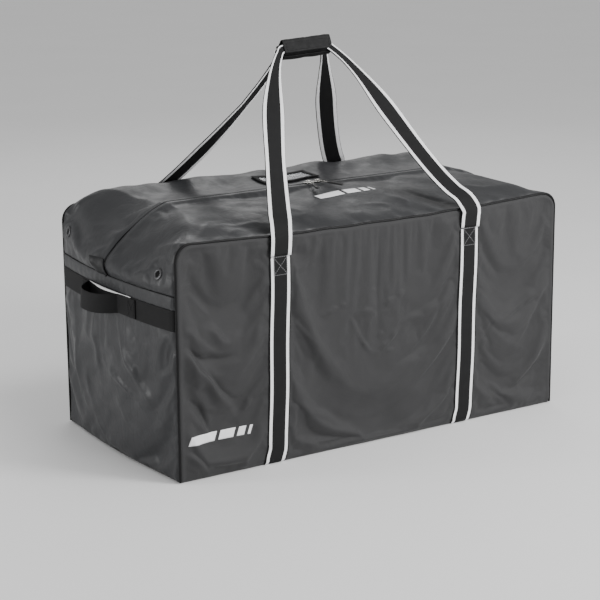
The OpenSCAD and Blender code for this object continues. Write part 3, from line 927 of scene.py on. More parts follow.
def settle(panels):
    """Lets every panel pucker at once: larger cloth, held seams and a little air behind it."""
    scene = bpy.context.scene
    for obj in panels:
        cloth = obj.modifiers.new("cloth", "CLOTH")
        for key, value in CLOTH_SETTINGS.items():
            setattr(cloth.settings, key, value)
        cloth.settings.effector_weights.gravity = 0.15
        cloth.collision_settings.use_collision = False
        cloth.point_cache.frame_start = 1
        cloth.point_cache.frame_end = STEPS
    scene.frame_start, scene.frame_end = 1, STEPS
    for step in range(1, STEPS + 1):
        scene.frame_set(step)
    graph = bpy.context.evaluated_depsgraph_get()
    for obj in panels:
        start = np.zeros(len(obj.data.vertices) * 3)
        obj.data.vertices.foreach_get("co", start)
        moved = np.zeros(len(start))
        obj.evaluated_get(graph).data.vertices.foreach_get("co", moved)
        shift = (moved - start).reshape(-1, 3)
        length = np.linalg.norm(shift, axis=1, keepdims=True)
        shift = shift * np.minimum(1, REACH_OUT / np.maximum(length, 1e-9))
        obj.modifiers.clear()
        obj.data.vertices.foreach_set("co", start + shift.ravel())
        obj.data.update()
    scene.frame_set(1)


def strap_lean(z):
    """The sewn straps drift a little to the left on their way down the front."""
    drift = 10 * MM * (1 - np.clip(z / STITCH_HIGH, 0, 1))**1.3
    tuck = 8 * MM * ease(1 - z / (35 * MM))
    return -(drift + tuck + 0.8 * MM * np.sin(z * 31))


VENT_Y = (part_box("back_vents")[0].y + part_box("back_vents")[1].y) / 2
VENT_Z = (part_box("back_vents")[0].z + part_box("back_vents")[1].z) / 2


def vent_spot(face):
    """Y and Z of an eyelet's middle; the back pair sits higher and nearer its corner."""
    return (-VENT_Y + 5 * MM, VENT_Z - 8 * MM) if face < 0 else (VENT_Y + 4 * MM, VENT_Z + 9 * MM)


front_cloth = face_panel("front_cloth", "front", 11, FACE_FOLDS, 168, 88)
back_cloth = face_panel("back_cloth", "back", 37, mirrored(FACE_FOLDS, x=-1)[3:], 112, 54)
left_end_cloth = end_panel("left_end_cloth", 21, END_FOLDS)
right_end_cloth = end_panel("right_end_cloth", 51, mirrored(END_FOLDS, y=-1)[1:])
front_top_cloth = top_panel("front_top_cloth", "front", 61, FRONT_TOP_FOLDS + SKIRT_FOLDS)
back_top_cloth = top_panel("back_top_cloth", "back", 81,
                           mirrored(BACK_TOP_FOLDS, y=-1) + BACK_SKIRT_FOLDS)


def turned_over(obj, x=1, y=1):
    """Mirrors a panel's points and keeps its outside out."""
    obj.data.transform(Matrix.Diagonal((x, y, 1, 1)))
    if x * y < 0:
        obj.data.flip_normals()
    return obj


turned_over(back_cloth, y=-1)
turned_over(back_top_cloth, y=-1)
turned_over(right_end_cloth, x=-1)


def bottom_cloth_panel():
    """The base: flat cloth that dips a little between the straps."""
    xs = np.linspace(-1, 1, 90)
    ys = np.linspace(-1, 1, 44)
    u, y = np.meshgrid(xs, ys * (HALF_W - 10 * MM), indexing="ij")
    x = u * (HALF_L + end_bulge(0) * crown(y) - 12 * MM)
    lift = 1.2 * MM + 1.0 * MM * (0.5 + 0.5 * ripples(x, y, 0.09, 4))
    under_strap = np.abs(np.abs(x) - STRAP_X) < WEB_W / 2 + 14 * MM
    z = np.where(under_strap, np.maximum(lift, 2.9 * MM), lift)
    return cloth_panel("bottom_cloth", np.stack([x, y, z], -1), np.ones(x.shape, bool), flip=True)


settle(PANELS)

bottom_cloth = bottom_cloth_panel()

for panel in PANELS:
    finished(
        panel,
        ("SUBSURF", {"levels": 1, "render_levels": 1}),
        ("SOLIDIFY", {"thickness": CLOTH_T, "offset": -1, "material_offset": 1, "use_rim": True}),
    )

for panel, node in (
    (front_cloth, "front_panel"), (back_cloth, "back_panel"), (left_end_cloth, "left_end_panel"),
    (right_end_cloth, "right_end_panel"), (bottom_cloth, "bottom_panel"),
):
    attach(panel, "bag")
    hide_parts(node)


def lifts_with(obj, half, *nodes):
    """A piece of one half of the top, with its transform baked into its mesh and the CAD nodes it stands
    for hidden; half is not used.
    """
    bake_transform(obj)
    if nodes:
        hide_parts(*nodes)
    return obj


lifts_with(front_top_cloth, "front", "front_top_panel")
lifts_with(back_top_cloth, "back", "back_top_panel")

# ---------------------------------------------------------------- laying pieces on the cloth


def surface_of(obj):
    """Search tree of a finished piece, for laying others on it."""
    mesh = obj.data
    return BVHTree.FromPolygons([v.co for v in mesh.vertices], [p.vertices for p in mesh.polygons])


def laid_on(tree, start, direction, lift):
    """The point where a ray meets the cloth, and lifted off it."""
    hit = tree.ray_cast(Vector(start), Vector(direction), 0.2)
    if hit[0] is None:
        hit = tree.find_nearest(Vector(start))
    return np.array(hit[0]) - lift * np.array(direction)


def seated_on(tree, start, direction, lift):
    """Placement on the cloth with its local Z along the cloth's outward normal."""
    spot, normal, _, _ = tree.ray_cast(Vector(start), Vector(direction), 0.2)
    if normal.dot(Vector(direction)) > 0:
        normal = -normal
    turn = Vector((0, 0, 1)).rotation_difference(normal).to_matrix().to_4x4()
    return Matrix.Translation(spot + normal * lift) @ turn


FRONT_TREE = surface_of(front_cloth)
FRONT_TOP_TREE = surface_of(front_top_cloth)
BACK_TOP_TREE = surface_of(back_top_cloth)
OVER_TOP = 0.56                  # height that rays come down from, above the whole top

# ---------------------------------------------------------------- piping and binding


def piping(half, face, ripple_seed):
    """Covered cord along the top seam, round both corners and down to the base."""
    y = face * (HALF_W - 1.5 * MM)
    r = 2.6 * MM
    turns = np.linspace(0, math.pi / 2, 9)
    reach = HALF_L - r
    bend = CORNER_R - r
    corner_x = reach - bend + bend * np.cos(turns)
    corner_z = seam_top(corner_x, half) - CORNER_R + bend * np.sin(turns)
    run_x = np.linspace(reach - bend, bend - reach, 110)[1:-1]
    side_z = np.linspace(3 * MM, TOP_Z - CORNER_R, 42)[:-1]
    right = np.vstack([np.stack([0 * side_z + reach, side_z], 1), np.stack([corner_x, corner_z], 1)])
    run = np.stack([run_x, seam_top(run_x, half) - r], 1)
    line = np.vstack([right, run, right[::-1] * (-1, 1)])
    wander = 0.7 * MM * ripples(line[:, 0], line[:, 1], 0.09, ripple_seed)
    path = np.stack([line[:, 0], 0 * wander + y, line[:, 1]], 1) + wander[:, None] * (0.4, 0.5, 0.6)
    path = smooth_line(path, step=5 * MM, fine=3)
    cord = sweep(f"{half}_piping_cord", path, (0, 1, 0), circle(r, 8), [PIPING])
    fitted(cord, "bag", "piping", f"{half}_piping")


piping("front", -1, 8)
piping("back", 1, 9)


def inner_binding():
    """Tape folded over the seam inside the base."""
    low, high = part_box("seam_binding")
    reach = SIDE_Y - 6 * MM
    y = np.linspace(-reach, reach, 40)
    x = HALF_L + end_bulge(0) * crown(y) - 12 * MM
    side_x = np.linspace(x[-1], -x[-1], 70)[1:-1]
    right, back = np.stack([x, y], 1), np.stack([side_x, 0 * side_x + reach], 1)
    loop = np.vstack([right, back, -right, -back])
    path = np.column_stack([loop, np.full(len(loop), (low.z + high.z) / 2)])
    section = in_mm((-4.6, 0), (-4, 0.8), (4, 0.9), (4.6, 0), (4, -0.9), (-4, -0.8))
    return sweep("inner_binding", path, (0, 0, 1), section, [TAPE], closed=True)


fitted(inner_binding(), "bag", "binding", "seam_binding")

# ---------------------------------------------------------------- stitching


STITCH_L = 3.0 * MM
STITCH_GAP = 1.1 * MM
STITCH_LAP = 1.55                # how far a stitch is drawn out past its own place
THREAD_R = 0.42 * MM
SIDES = 6                        # flats round a stitch or a coil tooth


def stitch_part(a, b, normal):
    """Thread spindle from one point to another; the normal points out of the cloth."""
    d = unit(b - a)
    w = unit(np.cross(d, normal))
    n = np.cross(w, d)
    verts = [a]
    for t, r in ((0.15, 0.8), (0.5, 1.0), (0.85, 0.8)):
        c = a + (b - a) * t + n * THREAD_R * 0.5
        for turn in range(SIDES):
            q = turn * math.pi / 3
            verts.append(c + THREAD_R * r * (w * math.cos(q) + n * math.sin(q)))
    verts.append(b)
    last = len(verts) - 1
    rim = last - SIDES
    faces = [(0, 1 + (k + 1) % SIDES, 1 + k) for k in range(SIDES)]
    faces += [tuple(i + 1 for i in face) for face in grid_faces(3, SIDES, flip=True, wrap=True)]
    faces += [(rim + k, rim + (k + 1) % SIDES, last) for k in range(SIDES)]
    return verts, faces


def stitch_parts(lines, normals):
    """Stitches along lines of points."""
    parts = []
    for line, normal in zip(lines, normals):
        count = max(2, int(line_length(line) / (STITCH_L + STITCH_GAP)))
        places = resample(line, 2 * count + 1)
        for a, b in zip(places[:-1:2], places[1::2]):
            parts.append(stitch_part(a, a + (b - a) * STITCH_LAP, normal))
    return parts


def crossed_box(corners):
    """The sides and the diagonals of a stitched box, from its four corners in order."""
    ends = (0, 1), (1, 2), (2, 3), (3, 0), (0, 2), (1, 3)
    return [[corners[i], corners[j]] for i, j in ends]


# ---------------------------------------------------------------- sewn straps

SEWN, SEWN_MARKS = webbing_section(edge=3.2 * MM, stripe=6.6 * MM)
LOOSE, LOOSE_MARKS = webbing_section(edge=1.3 * MM, stripe=7.6 * MM)


def strap_path(side):
    """Down the front from the top of the box stitching, under the base and up the back."""
    y = HALF_W + WEB_T / 2 + 0.1 * MM
    down = np.linspace(STITCH_HIGH + 1 * MM, 9 * MM, 60)
    front = np.stack([side * STRAP_X + strap_lean(down), 0 * down - y, down], 1)
    back = front[::-1] * (1, -1, 1)
    under_y = np.linspace(-1, 1, 40) * (y - 9 * MM)
    shift = front[-1, 0]
    under = np.stack([0 * under_y + shift, under_y, 0 * under_y + WEB_T / 2 + 0.1 * MM], 1)
    turn = np.array([[shift, -y + 1 * MM, 4.5 * MM], [shift, -y + 4 * MM, 1.8 * MM]])
    path = np.vstack([front, turn, under, turn[::-1] * (1, -1, 1), back])
    return smooth_line(path, fine=4)


for word, side in (("left", -1), ("right", 1)):
    strap = sweep(f"{word}_strap_webbing", strap_path(side), (1, 0, 0), SEWN, [WEB, STRIPE], SEWN_MARKS)
    fitted(strap, "bag", "webbing", f"{word}_strap")


def box_stitching():
    """A box with a cross in it at the top of each sewn run, doubled along its top."""
    parts = []
    half = WEB_W / 2 - 9 * MM
    low, high = STITCH_LOW + 1 * MM, STITCH_HIGH - 1 * MM
    second = high + 0.9 * MM
    for side, face in itertools.product((-1, 1), (-1, 1)):
        y = face * (HALF_W + WEB_T + 0.15 * MM)
        places = (-half, high), (half, high), (half, low), (-half, low), (-half, second), (half, second)
        spots = [(side * STRAP_X + strap_lean(z) + u, y, z) for u, z in places]
        lines = crossed_box(spots[:4]) + [spots[4:]]
        parts += stitch_parts(lines, [(0, face, 0)] * len(lines))
    return joined("strap_thread", parts, THREAD)


fitted(box_stitching(), "bag", "thread", "strap_stitching")

# ---------------------------------------------------------------- carry loops

WRAP_LOW, WRAP_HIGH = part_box("wrap_sleeve")
WRAP_X = (WRAP_LOW.x + WRAP_HIGH.x) / 2
WRAP_L = WRAP_HIGH.x - WRAP_LOW.x
WRAP_Z = (WRAP_LOW.z + WRAP_HIGH.z) / 2
WRAP_TILT = 0.045                # the wrap hangs with its left end a little lower
WRAP_STITCH_HIGH = 14.5          # heights of its two long seams, in mm from its middle line
WRAP_STITCH_LOW = 0.0
GRIP_Y = 7 * MM                  # a loop's grip lies this far in front of or behind the wrap's middle
GRIP_UP = 2.5 * MM               # and this far above it


def wrap_mid(x):
    """Height of the wrap's middle line."""
    return WRAP_Z + WRAP_TILT * (x - WRAP_HIGH.x)


TWIST_STATIONS = [0.2, 0.45, 0.72, 0.95]

# For each leg: offset of the curve's second point from the foot, offset of its third point
# from the head, how far out its head is from the wrap's middle (mm), and the twist of the
# webbing on the way up, in degrees at four stations. In the offsets, X is outwards from the
# middle of the bag, and Y is towards the middle.
LEGS = {
    ("front", -1): ((-0.043, 0.081, 0.052), (0.067, -0.040, -0.031), 61, (0, 8, -6, 0)),
    ("front", 1): ((-0.083, 0.065, 0.061), (0.105, -0.026, -0.062), 44, (0, 0, 6, 0)),
    ("back", -1): ((0.006, 0.149, 0.074), (-0.010, -0.005, -0.052), 61, (0, 6, 26, 10)),
    ("back", 1): ((-0.064, 0.042, 0.066), (0.040, -0.050, -0.086), 50, (0, 0, 4, 0)),
}


def leg_path(half, side):
    """From just above the box stitching, up off the panel and in to the end of the wrap."""
    face = -1 if half == "front" else 1
    start_x = side * STRAP_X + strap_lean(STITCH_HIGH)
    out = np.array([start_x, face * HINGE.y, HINGE.z])
    near, far, reach, twists = LEGS[half, side]
    near = np.array([side * near[0], -face * near[1], near[2]])
    far = np.array([side * far[0], -face * far[1], far[2]])
    head_x = WRAP_X + side * reach * MM
    head = np.array([head_x, face * GRIP_Y, wrap_mid(head_x) + GRIP_UP])
    climb = bezier([out, out + near, head + far, head], np.linspace(0.05, 1, 14))
    off = [STITCH_HIGH + 1.5 * MM, STITCH_HIGH + 8 * MM, STITCH_HIGH + 24 * MM, HINGE.z - 14 * MM]
    stand = [2 * WEB_T - 1 * MM, 2 * WEB_T, 2 * WEB_T + 1 * MM, 6 * MM]
    first = [(start_x + 0.3 * MM * i, face * (HALF_W + stand[i]), off[i]) for i in range(len(off))]
    return np.vstack([first, climb]), twists


def turned(vectors, axes, degrees):
    """Each vector turned about its own unit axis."""
    a = np.radians(degrees)[:, None]
    dot = (vectors * axes).sum(1, keepdims=True)
    return vectors * np.cos(a) + np.cross(axes, vectors) * np.sin(a) + axes * dot * (1 - np.cos(a))


def carry_loop(half):
    """One loop: up both legs and through the wrap, where the webbing is folded and on edge."""
    face = -1 if half == "front" else 1
    left, left_twist = leg_path(half, -1)
    right, right_twist = leg_path(half, 1)
    grip_x = WRAP_X + np.array([-24, 0, 24]) * MM
    grip_y = face * (GRIP_Y - 0.5 * MM)
    grip = np.stack([grip_x, 0 * grip_x + grip_y, wrap_mid(grip_x) + GRIP_UP], 1)
    path = smooth_line(np.vstack([left, grip, right[::-1]]))
    tangent = unit(np.gradient(path, axis=0))
    from_left = distance_along(path)
    from_right = from_left[-1] - from_left
    end = np.minimum(from_left, from_right) / line_length(smooth_line(left))
    flat = square_to(np.tile([1.0, 0, 0], (len(path), 1)), tangent)
    on_edge = square_to(np.tile([0, -face * 0.46, 0.89], (len(path), 1)), tangent)
    on_edge = on_edge * np.where((on_edge * flat).sum(1, keepdims=True) < 0, -1, 1)
    twist = np.where(from_left < from_right, np.interp(end, TWIST_STATIONS, left_twist),
                     np.interp(end, TWIST_STATIONS, right_twist))
    flat = turned(flat, tangent, twist)
    share = ease((end - 0.84) / 0.16)[:, None]
    across = unit(flat * (1 - share) + on_edge * share)
    size = np.stack([1 - 0.64 * ease((end - 0.62) / 0.36), 1 + 0.6 * ease((end - 0.82) / 0.18)], 1)
    obj = sweep(f"{half}_carry_loop", path, across, LOOSE, [WEB, STRIPE], LOOSE_MARKS, size)
    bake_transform(obj)
    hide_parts(f"{half}_handle")


carry_loop("front")
carry_loop("back")

# ---------------------------------------------------------------- wrap round the grips

# Offsets from the wrap's middle line. Both faces go out from the ridge and over the panel's
# edge. The back one goes on under the grips, as a tongue below the front one's underside.
WRAP_SECTION = {
    -1: in_mm((0.4, 19.3), (2.0, 19.5), (3.8, 17.0), (6.6, 11.2), (9.6, 5.0), (12.2, -0.6), (13.4, -3.2),
              (13.3, -4.2), (12.0, -5.0), (9.6, -7.0), (6.6, -10.4), (3.6, -13.8), (1.4, -15.6)),
    1: in_mm((0.4, 19.3), (2.2, 19.4), (5.4, 16.0), (9.6, 10.4), (13.6, 4.8), (17.4, -0.8), (19.2, -3.6),
             (19.2, -4.8), (17.8, -5.8), (14.2, -9.0), (9.6, -13.8), (5.0, -18.2), (1.2, -20.0),
             (-2.8, -18.6), (-6.2, -15.4), (-9.4, -12.0)),
}


def wrap_half(name, side):
    """One padded face of the wrap, from its ridge down and in under the grips."""
    outer = smooth_line(WRAP_SECTION[side], 42)
    u, v = np.meshgrid(np.linspace(-1, 1, 48), np.arange(len(outer)), indexing="ij")
    from_end = (1 - np.abs(u)) * WRAP_L / 2
    at_end = np.exp(-from_end / (3.0 * MM))
    groove = bell(from_end - 6 * MM, 1.1 * MM)
    middle = bell(u * WRAP_L / 2, 1.6 * MM)
    place = outer[v]
    along = np.linspace(0, 1, len(outer))[v]
    height = place[..., 1] / MM
    lines = bell(height - WRAP_STITCH_HIGH, 1) + bell(height - WRAP_STITCH_LOW, 1)
    puff = 1.0 * MM * ripples(u * WRAP_L, along * 0.06, 0.05, 17 + side)
    inward = 1.0 * at_end + 0.9 * groove + (1.5 * middle + 0.7 * lines) * (along < 0.5)
    inward = inward * MM - puff * 0.5
    scale = 1 - inward / (15 * MM)
    x = WRAP_X + u * WRAP_L / 2
    z = wrap_mid(x) + place[..., 1] * (1 - inward / (26 * MM))
    points = np.stack([x, side * place[..., 0] * scale, z], -1)
    obj = grid_mesh(name, points, [WRAP], flip=side > 0)
    finished(
        obj,
        ("SUBSURF", {"levels": 1, "render_levels": 1}),
        ("SOLIDIFY", {"thickness": 1.6 * MM, "offset": -1, "use_rim": True}),
        ("BEVEL", {"width": 0.5 * MM, "segments": 2, "limit_method": "ANGLE"}),
    )
    return obj


wrap_front = wrap_half("wrap_front", -1)
wrap_back = wrap_half("wrap_back", 1)
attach(wrap_front, "front_carry")
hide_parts("wrap_sleeve")
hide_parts("wrap_flap")
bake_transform(wrap_back)


def wrap_stitching(name, side, tree):
    """Border of dark stitches near the edges of one face of the wrap."""
    ends = WRAP_L / 2 - 6 * MM
    high, low = WRAP_STITCH_HIGH, WRAP_STITCH_LOW

    def at(u, h):
        start = (WRAP_X + u, side * 50 * MM, wrap_mid(WRAP_X + u) + h * MM)
        return laid_on(tree, start, (0, -side, 0), 0.1 * MM)

    lines = [
        [at(-ends, high), at(0, high), at(ends, high)],
        [at(-ends, low), at(0, low), at(ends, low)],
        [at(-ends, h) for h in np.linspace(low, high, 6)],
        [at(ends, h) for h in np.linspace(low, high, 6)],
    ]
    normals = [unit((0, side * 0.8, 0.5)), (0, side, 0), unit((0, side, 0.3)), unit((0, side, 0.3))]
    obj = joined(name, stitch_parts(lines, normals), DARK_THREAD)
    return obj


wrap_front_thread = wrap_stitching("wrap_front_thread", -1, surface_of(wrap_front))
wrap_back_thread = wrap_stitching("wrap_back_thread", 1, surface_of(wrap_back))
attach(wrap_front_thread, "front_carry")
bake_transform(wrap_back_thread)


def closing_strip(name, node, body, out, level):
    """Hook or loop strip between the front face's underside and the back face's tongue."""
    low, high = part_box(node)
    x = np.linspace(low.x, high.x, 24)
    path = np.stack([x, 0 * x - out * MM, wrap_mid(x) + level * MM], 1)
    section = in_mm((-4.4, -0.2), (-4.2, 0.28), (4.2, 0.28), (4.4, -0.2))
    fitted(sweep(name, path, (0, -0.66, 0.75), section, [HOOKS_AND_HOLE_SHADE]), body, "fastener", node)


closing_strip("wrap_hooks", "wrap_hook_strip", "front_carry", 7.7, -9.4)
closing_strip("wrap_loops", "wrap_loop_strip", "wrap_cover", 8.2, -9.9)

# ---------------------------------------------------------------- ends: facing strip, band, haul handle


def into_seams(y):
    """1 over an end, and 0 where its strips go into the seams at both sides."""
    return ease((SIDE_Y + 1 * MM - np.abs(y)) / (10 * MM))


def end_line(z, stand):
    """Points across the left end, from front to back, at one height and a distance off it."""
    y = np.linspace(-SIDE_Y, SIDE_Y, 90)
    return np.stack([-(end_surface(y, z) + stand - 4 * MM * (1 - into_seams(y))), y, 0 * y + z], 1)


def mirrored_pair(build, name, slot, *nodes):
    """Builds a left-hand piece and its mirror image, and lets both ride on the bag."""
    for word in ("left", "right"):
        obj = build(f"{word}_{name}")
        if word == "right":
            turned_over(obj, x=-1)
        fitted(obj, "bag", slot, *[f"{word}_{node}" for node in nodes])


def facing_strip(name):
    """Folded cloth strip under the end's seam, with gathers and a line at both edges."""
    rows = np.concatenate([[0, 0.06], np.linspace(0.14, 0.86, 7), [0.94, 1]])
    low, high = BAND_HIGH - 1 * MM, SEAM_Z + 1 * MM
    y = np.linspace(-SIDE_Y + 1.5 * MM, SIDE_Y - 1.5 * MM, 220)
    z = low + (high - low) * rows
    y, z = np.meshgrid(y, z, indexing="ij")
    share = (z - low) / (high - low)
    puckers = 0.9 * MM * ripples(y, 0 * y, 0.022, 31) * np.sin(math.pi * share) * bell(y, 0.11)
    stand = 1.6 * MM * np.sin(math.pi * share)**0.4 + puckers + 0.2 * MM * ripples(y, z, 0.03, 32)
    stand = stand - 4 * MM * (1 - into_seams(y))
    points = np.stack([-(end_surface(y, z) + stand), y, z], -1)
    obj = grid_mesh(name, points, [CLOTH], flip=True)
    return finished(obj, ("SOLIDIFY", {"thickness": 0.9 * MM, "offset": -1}))


def seam_cords(name):
    """Thin dark welts along both edges of the facing strip."""
    levels = BAND_HIGH - 0.5 * MM, SEAM_Z + 0.5 * MM
    parts = [swept(end_line(z, 1.1 * MM), (0, 0, 1), circle(1.0 * MM, 6)) for z in levels]
    return joined(name, parts, PIPING)


BAND, _ = webbing_section(BAND_HIGH - BAND_LOW, stripe=4 * MM)


def end_webbing(name):
    return sweep(name, end_line((BAND_LOW + BAND_HIGH) / 2, 1.4 * MM), (0, 0, 1), BAND, [WEB])


HAUL_HALF = 85 * MM
HAUL_NEAR = -46 * MM             # its front part has been pressed flat as far as here
HAUL_MID = 24 * MM
HAUL_OUT = 36 * MM
HAUL_TAB = 27 * MM


def haul_handle(name):
    """Webbing loop: sewn flat at both ends, standing out between them, a little askew."""
    y = np.linspace(-HAUL_HALF - HAUL_TAB, HAUL_HALF + HAUL_TAB, 160)
    across = (y - HAUL_MID) / np.where(y < HAUL_MID, HAUL_MID - HAUL_NEAR, HAUL_HALF - HAUL_MID)
    lift = np.maximum(1 - np.abs(across)**2.6, 0)**0.9
    z = (BAND_LOW + BAND_HIGH) / 2 - 3 * MM * lift
    x = -(end_surface(y, z) + 3.9 * MM + HAUL_OUT * lift)
    section, _ = webbing_section(BAND_HIGH - BAND_LOW - 3 * MM)
    tilt = np.stack([0.10 * lift, 0 * lift, 1 + 0 * lift], 1)
    return sweep(name, np.stack([x, y, z], 1), tilt, section, [WEB])


def handle_crescent(name):
    """Pale edging strip behind the haul handle, pulled open in the middle."""
    y = np.linspace(-HAUL_HALF * 1.12, HAUL_HALF * 0.9, 60)
    lift = np.cos(np.pi / 2 * y / (HAUL_HALF * 1.13))**2
    level = BAND_HIGH + 0.5 * MM
    wall = end_surface(y, level)
    base = np.stack([-(wall + 2.2 * MM), y, 0 * y + level - 1.5 * MM], 1)
    edge = np.stack([-(wall + 3.2 * MM + 7.5 * MM * lift), y, level + 0.5 * MM + 0.5 * MM * lift], 1)
    middle = (base + edge) / 2 + np.stack([0 * y, 0 * y, 2.2 * MM * lift], 1)
    points = np.stack([base, middle, edge, edge - (0, 0, 3 * MM) * lift[:, None]], 1)
    obj = grid_mesh(name, points, [STRIPE], flip=True)
    return finished(obj, ("SUBSURF", {"levels": 1}), ("SOLIDIFY", {"thickness": 0.7 * MM, "offset": 0}))


def handle_thread(name):
    """Box and cross stitches that hold both ends of the haul handle."""
    parts = []
    high, low = BAND_HIGH - 6 * MM, BAND_LOW + 6 * MM
    for side in (-1, 1):
        near, far = side * (HAUL_HALF + 3 * MM), side * (HAUL_HALF + HAUL_TAB - 3 * MM)
        box = [(near, high), (far, high), (far, low), (near, low)]
        lines = crossed_box([(-(end_surface(y, z) + 5.4 * MM), y, z) for y, z in box])
        parts += stitch_parts(lines, [(-1, 0, 0)] * len(lines))
    return joined(name, parts, DARK_THREAD)


mirrored_pair(facing_strip, "facing_strip", "cloth")
mirrored_pair(seam_cords, "seam_welts", "piping")
mirrored_pair(end_webbing, "end_band", "webbing", "end_webbing")
mirrored_pair(haul_handle, "haul_loop", "webbing", "haul_handle")
mirrored_pair(handle_crescent, "handle_edging", "stripe", "handle_lining")
mirrored_pair(handle_thread, "handle_thread", "thread")

# ---------------------------------------------------------------- zip


ZIP_PATH = resample(zip_edge_line(), 420)
TAPE_REACH = 0.6 * MM, 12.5 * MM                         # from the zip's middle line
TAPE_DEPTH = 4.0 * MM, 4.9 * MM                          # of its two faces, under the cloth line


def zip_normals(path):
    """Normals of a line of X and Z, out of the cloth."""
    tangent = unit(np.gradient(path, axis=0))
    return np.stack([-tangent[:, 1], tangent[:, 0]], 1)


def zip_strip(name, face, near, far, top, low, material):
    """Flat strip beside the zip's middle, on one side, between two depths under the cloth line."""
    normal = zip_normals(ZIP_PATH)
    centre = ZIP_PATH - normal * (top + low) / 2
    path = np.stack([centre[:, 0], 0 * centre[:, 0] + face * (near + far) / 2, centre[:, 1]], 1)
    half, t = (far - near) / 2, (low - top) / 2
    flat = half - 0.3 * MM
    section = [(-half, 0), (-flat, t), (flat, t), (half, 0), (flat, -t), (-flat, -t)]
    return sweep(name, path, (0, 1, 0), section, [material])


# Section of a coil tooth, across the zip and out of it, and the size of its three rings
TOOTH = [(-0.9, 0.0), (-0.5, 1.0), (0.6, 1.1), (1.0, 0.3), (0.6, -0.7), (-0.6, -0.8)]
TOOTH_RINGS = (-0.42, 0.75), (0, 1.0), (0.42, 0.75)      # place in the pitch, and size


def coil_teeth(name, face):
    """Row of nylon coil loops: each is a small rounded bead that reaches over the middle."""
    pitch = 2.6 * MM
    count = int(line_length(ZIP_PATH) / pitch)
    places = resample(ZIP_PATH, count)
    normal = zip_normals(places)
    tangent = unit(np.gradient(places, axis=0))
    faces = grid_faces(3, SIDES, flip=True, wrap=True) + [(0, 5, 4, 3, 2, 1), (12, 13, 14, 15, 16, 17)]
    parts = []
    for i in range(count):
        c, n, t = places[i] - normal[i] * 2.6 * MM, normal[i], tangent[i]
        c = c + t * (pitch / 2 if face > 0 else 0)
        verts = []
        for along, grow in TOOTH_RINGS:
            for a, b in TOOTH:
                q = c + t * along * pitch + n * b * grow * 1.1 * MM
                verts.append((q[0], face * (1.75 * MM + a * grow * 1.2 * MM), q[1]))
        parts.append((verts, faces))
    return joined(name, parts, NYLON)


for half, face in (("front", -1), ("back", 1)):
    tape = zip_strip(f"{half}_tape_strip", face, *TAPE_REACH, *TAPE_DEPTH, TAPE)
    lifts_with(tape, half, f"{half}_zip_tape")
    teeth = coil_teeth(f"{half}_coil_teeth", face)
    lifts_with(teeth, half, f"{half}_zip_coil")


def zip_tab_piece(name):
    """Folded cloth tab that lies back from the lower end of the zip."""
    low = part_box("left_zip_tab")[0]
    stations = np.linspace(0, 1, 14)
    u, v = np.meshgrid(stations, stations, indexing="ij")
    py = low.y - 8 * MM + 38 * MM * u + 15 * MM * v * (1 - u * 0.3)
    pz = SEAM_Z + 1 * MM + v * 33 * MM + 4 * MM * u
    stand = 3.2 * MM + 13 * MM * u**1.5 * (0.3 + 0.7 * v) + 0.8 * MM * np.sin(v * 5 + u * 3)
    points = np.stack([0 * py, py, pz], -1)
    for i, j in np.ndindex(py.shape):
        start = (-HALF_L - 0.08, max(py[i, j], 4 * MM), pz[i, j])
        points[i, j, 0] = laid_on(BACK_TOP_TREE, start, (1, 0, 0), stand[i, j])[0]
    obj = grid_mesh(name, points, [TAB], flip=True)
    return finished(
        obj,
        ("SUBSURF", {"levels": 1}),
        ("SOLIDIFY", {"thickness": 2.4 * MM, "offset": 0}),
        ("BEVEL", {"width": 0.5 * MM, "segments": 2, "limit_method": "ANGLE"}),
    )


mirrored_pair(zip_tab_piece, "zip_tab_cloth", "cloth", "zip_tab")

# ---------------------------------------------------------------- sliders and pulls


PLATE_LEVELS = (0.9, 0), (1.0, 0.25), (1.0, 0.75), (0.92, 1.0)      # outline's size, share of height
NOSE_R, TAIL_R = 2.6 * MM, 2.2 * MM
TAPER = 1.6 * MM                 # how much narrower a plate's tail is on each side


def rounded_plate(length, width, nose, thickness, z):
    """A slider's plate: broad at the nose end and narrower at the tail."""
    tail = nose - length
    corners = [(nose, width / 2, NOSE_R), (tail, width / 2 - TAPER, TAIL_R),
               (tail, TAPER - width / 2, TAIL_R), (nose, -width / 2, NOSE_R)]
    outline = []
    for quarter, (x, y, r) in enumerate(corners):
        x -= math.copysign(r, x)
        y -= math.copysign(r, y)
        for a in np.radians(np.linspace(0, 90, 9) + 90 * quarter):
            outline.append((x + r * math.cos(a), y + r * math.sin(a)))
    n, centre = len(outline), np.mean(outline, 0)
    verts = []
    for scale, h in PLATE_LEVELS:
        verts += [(*(centre + (np.array(p) - centre) * scale), z + h * thickness) for p in outline]
    faces = [tuple(range(n - 1, -1, -1)), tuple(range(3 * n, 4 * n))]
    return verts, faces + grid_faces(len(PLATE_LEVELS), n, flip=True, wrap=True)


def pin_of(word):
    """Where a pull's pin is."""
    return Vector(next(j["pos_m"] for j in frame["joints"] if j["name"] == f"{word}_pull_swing"))


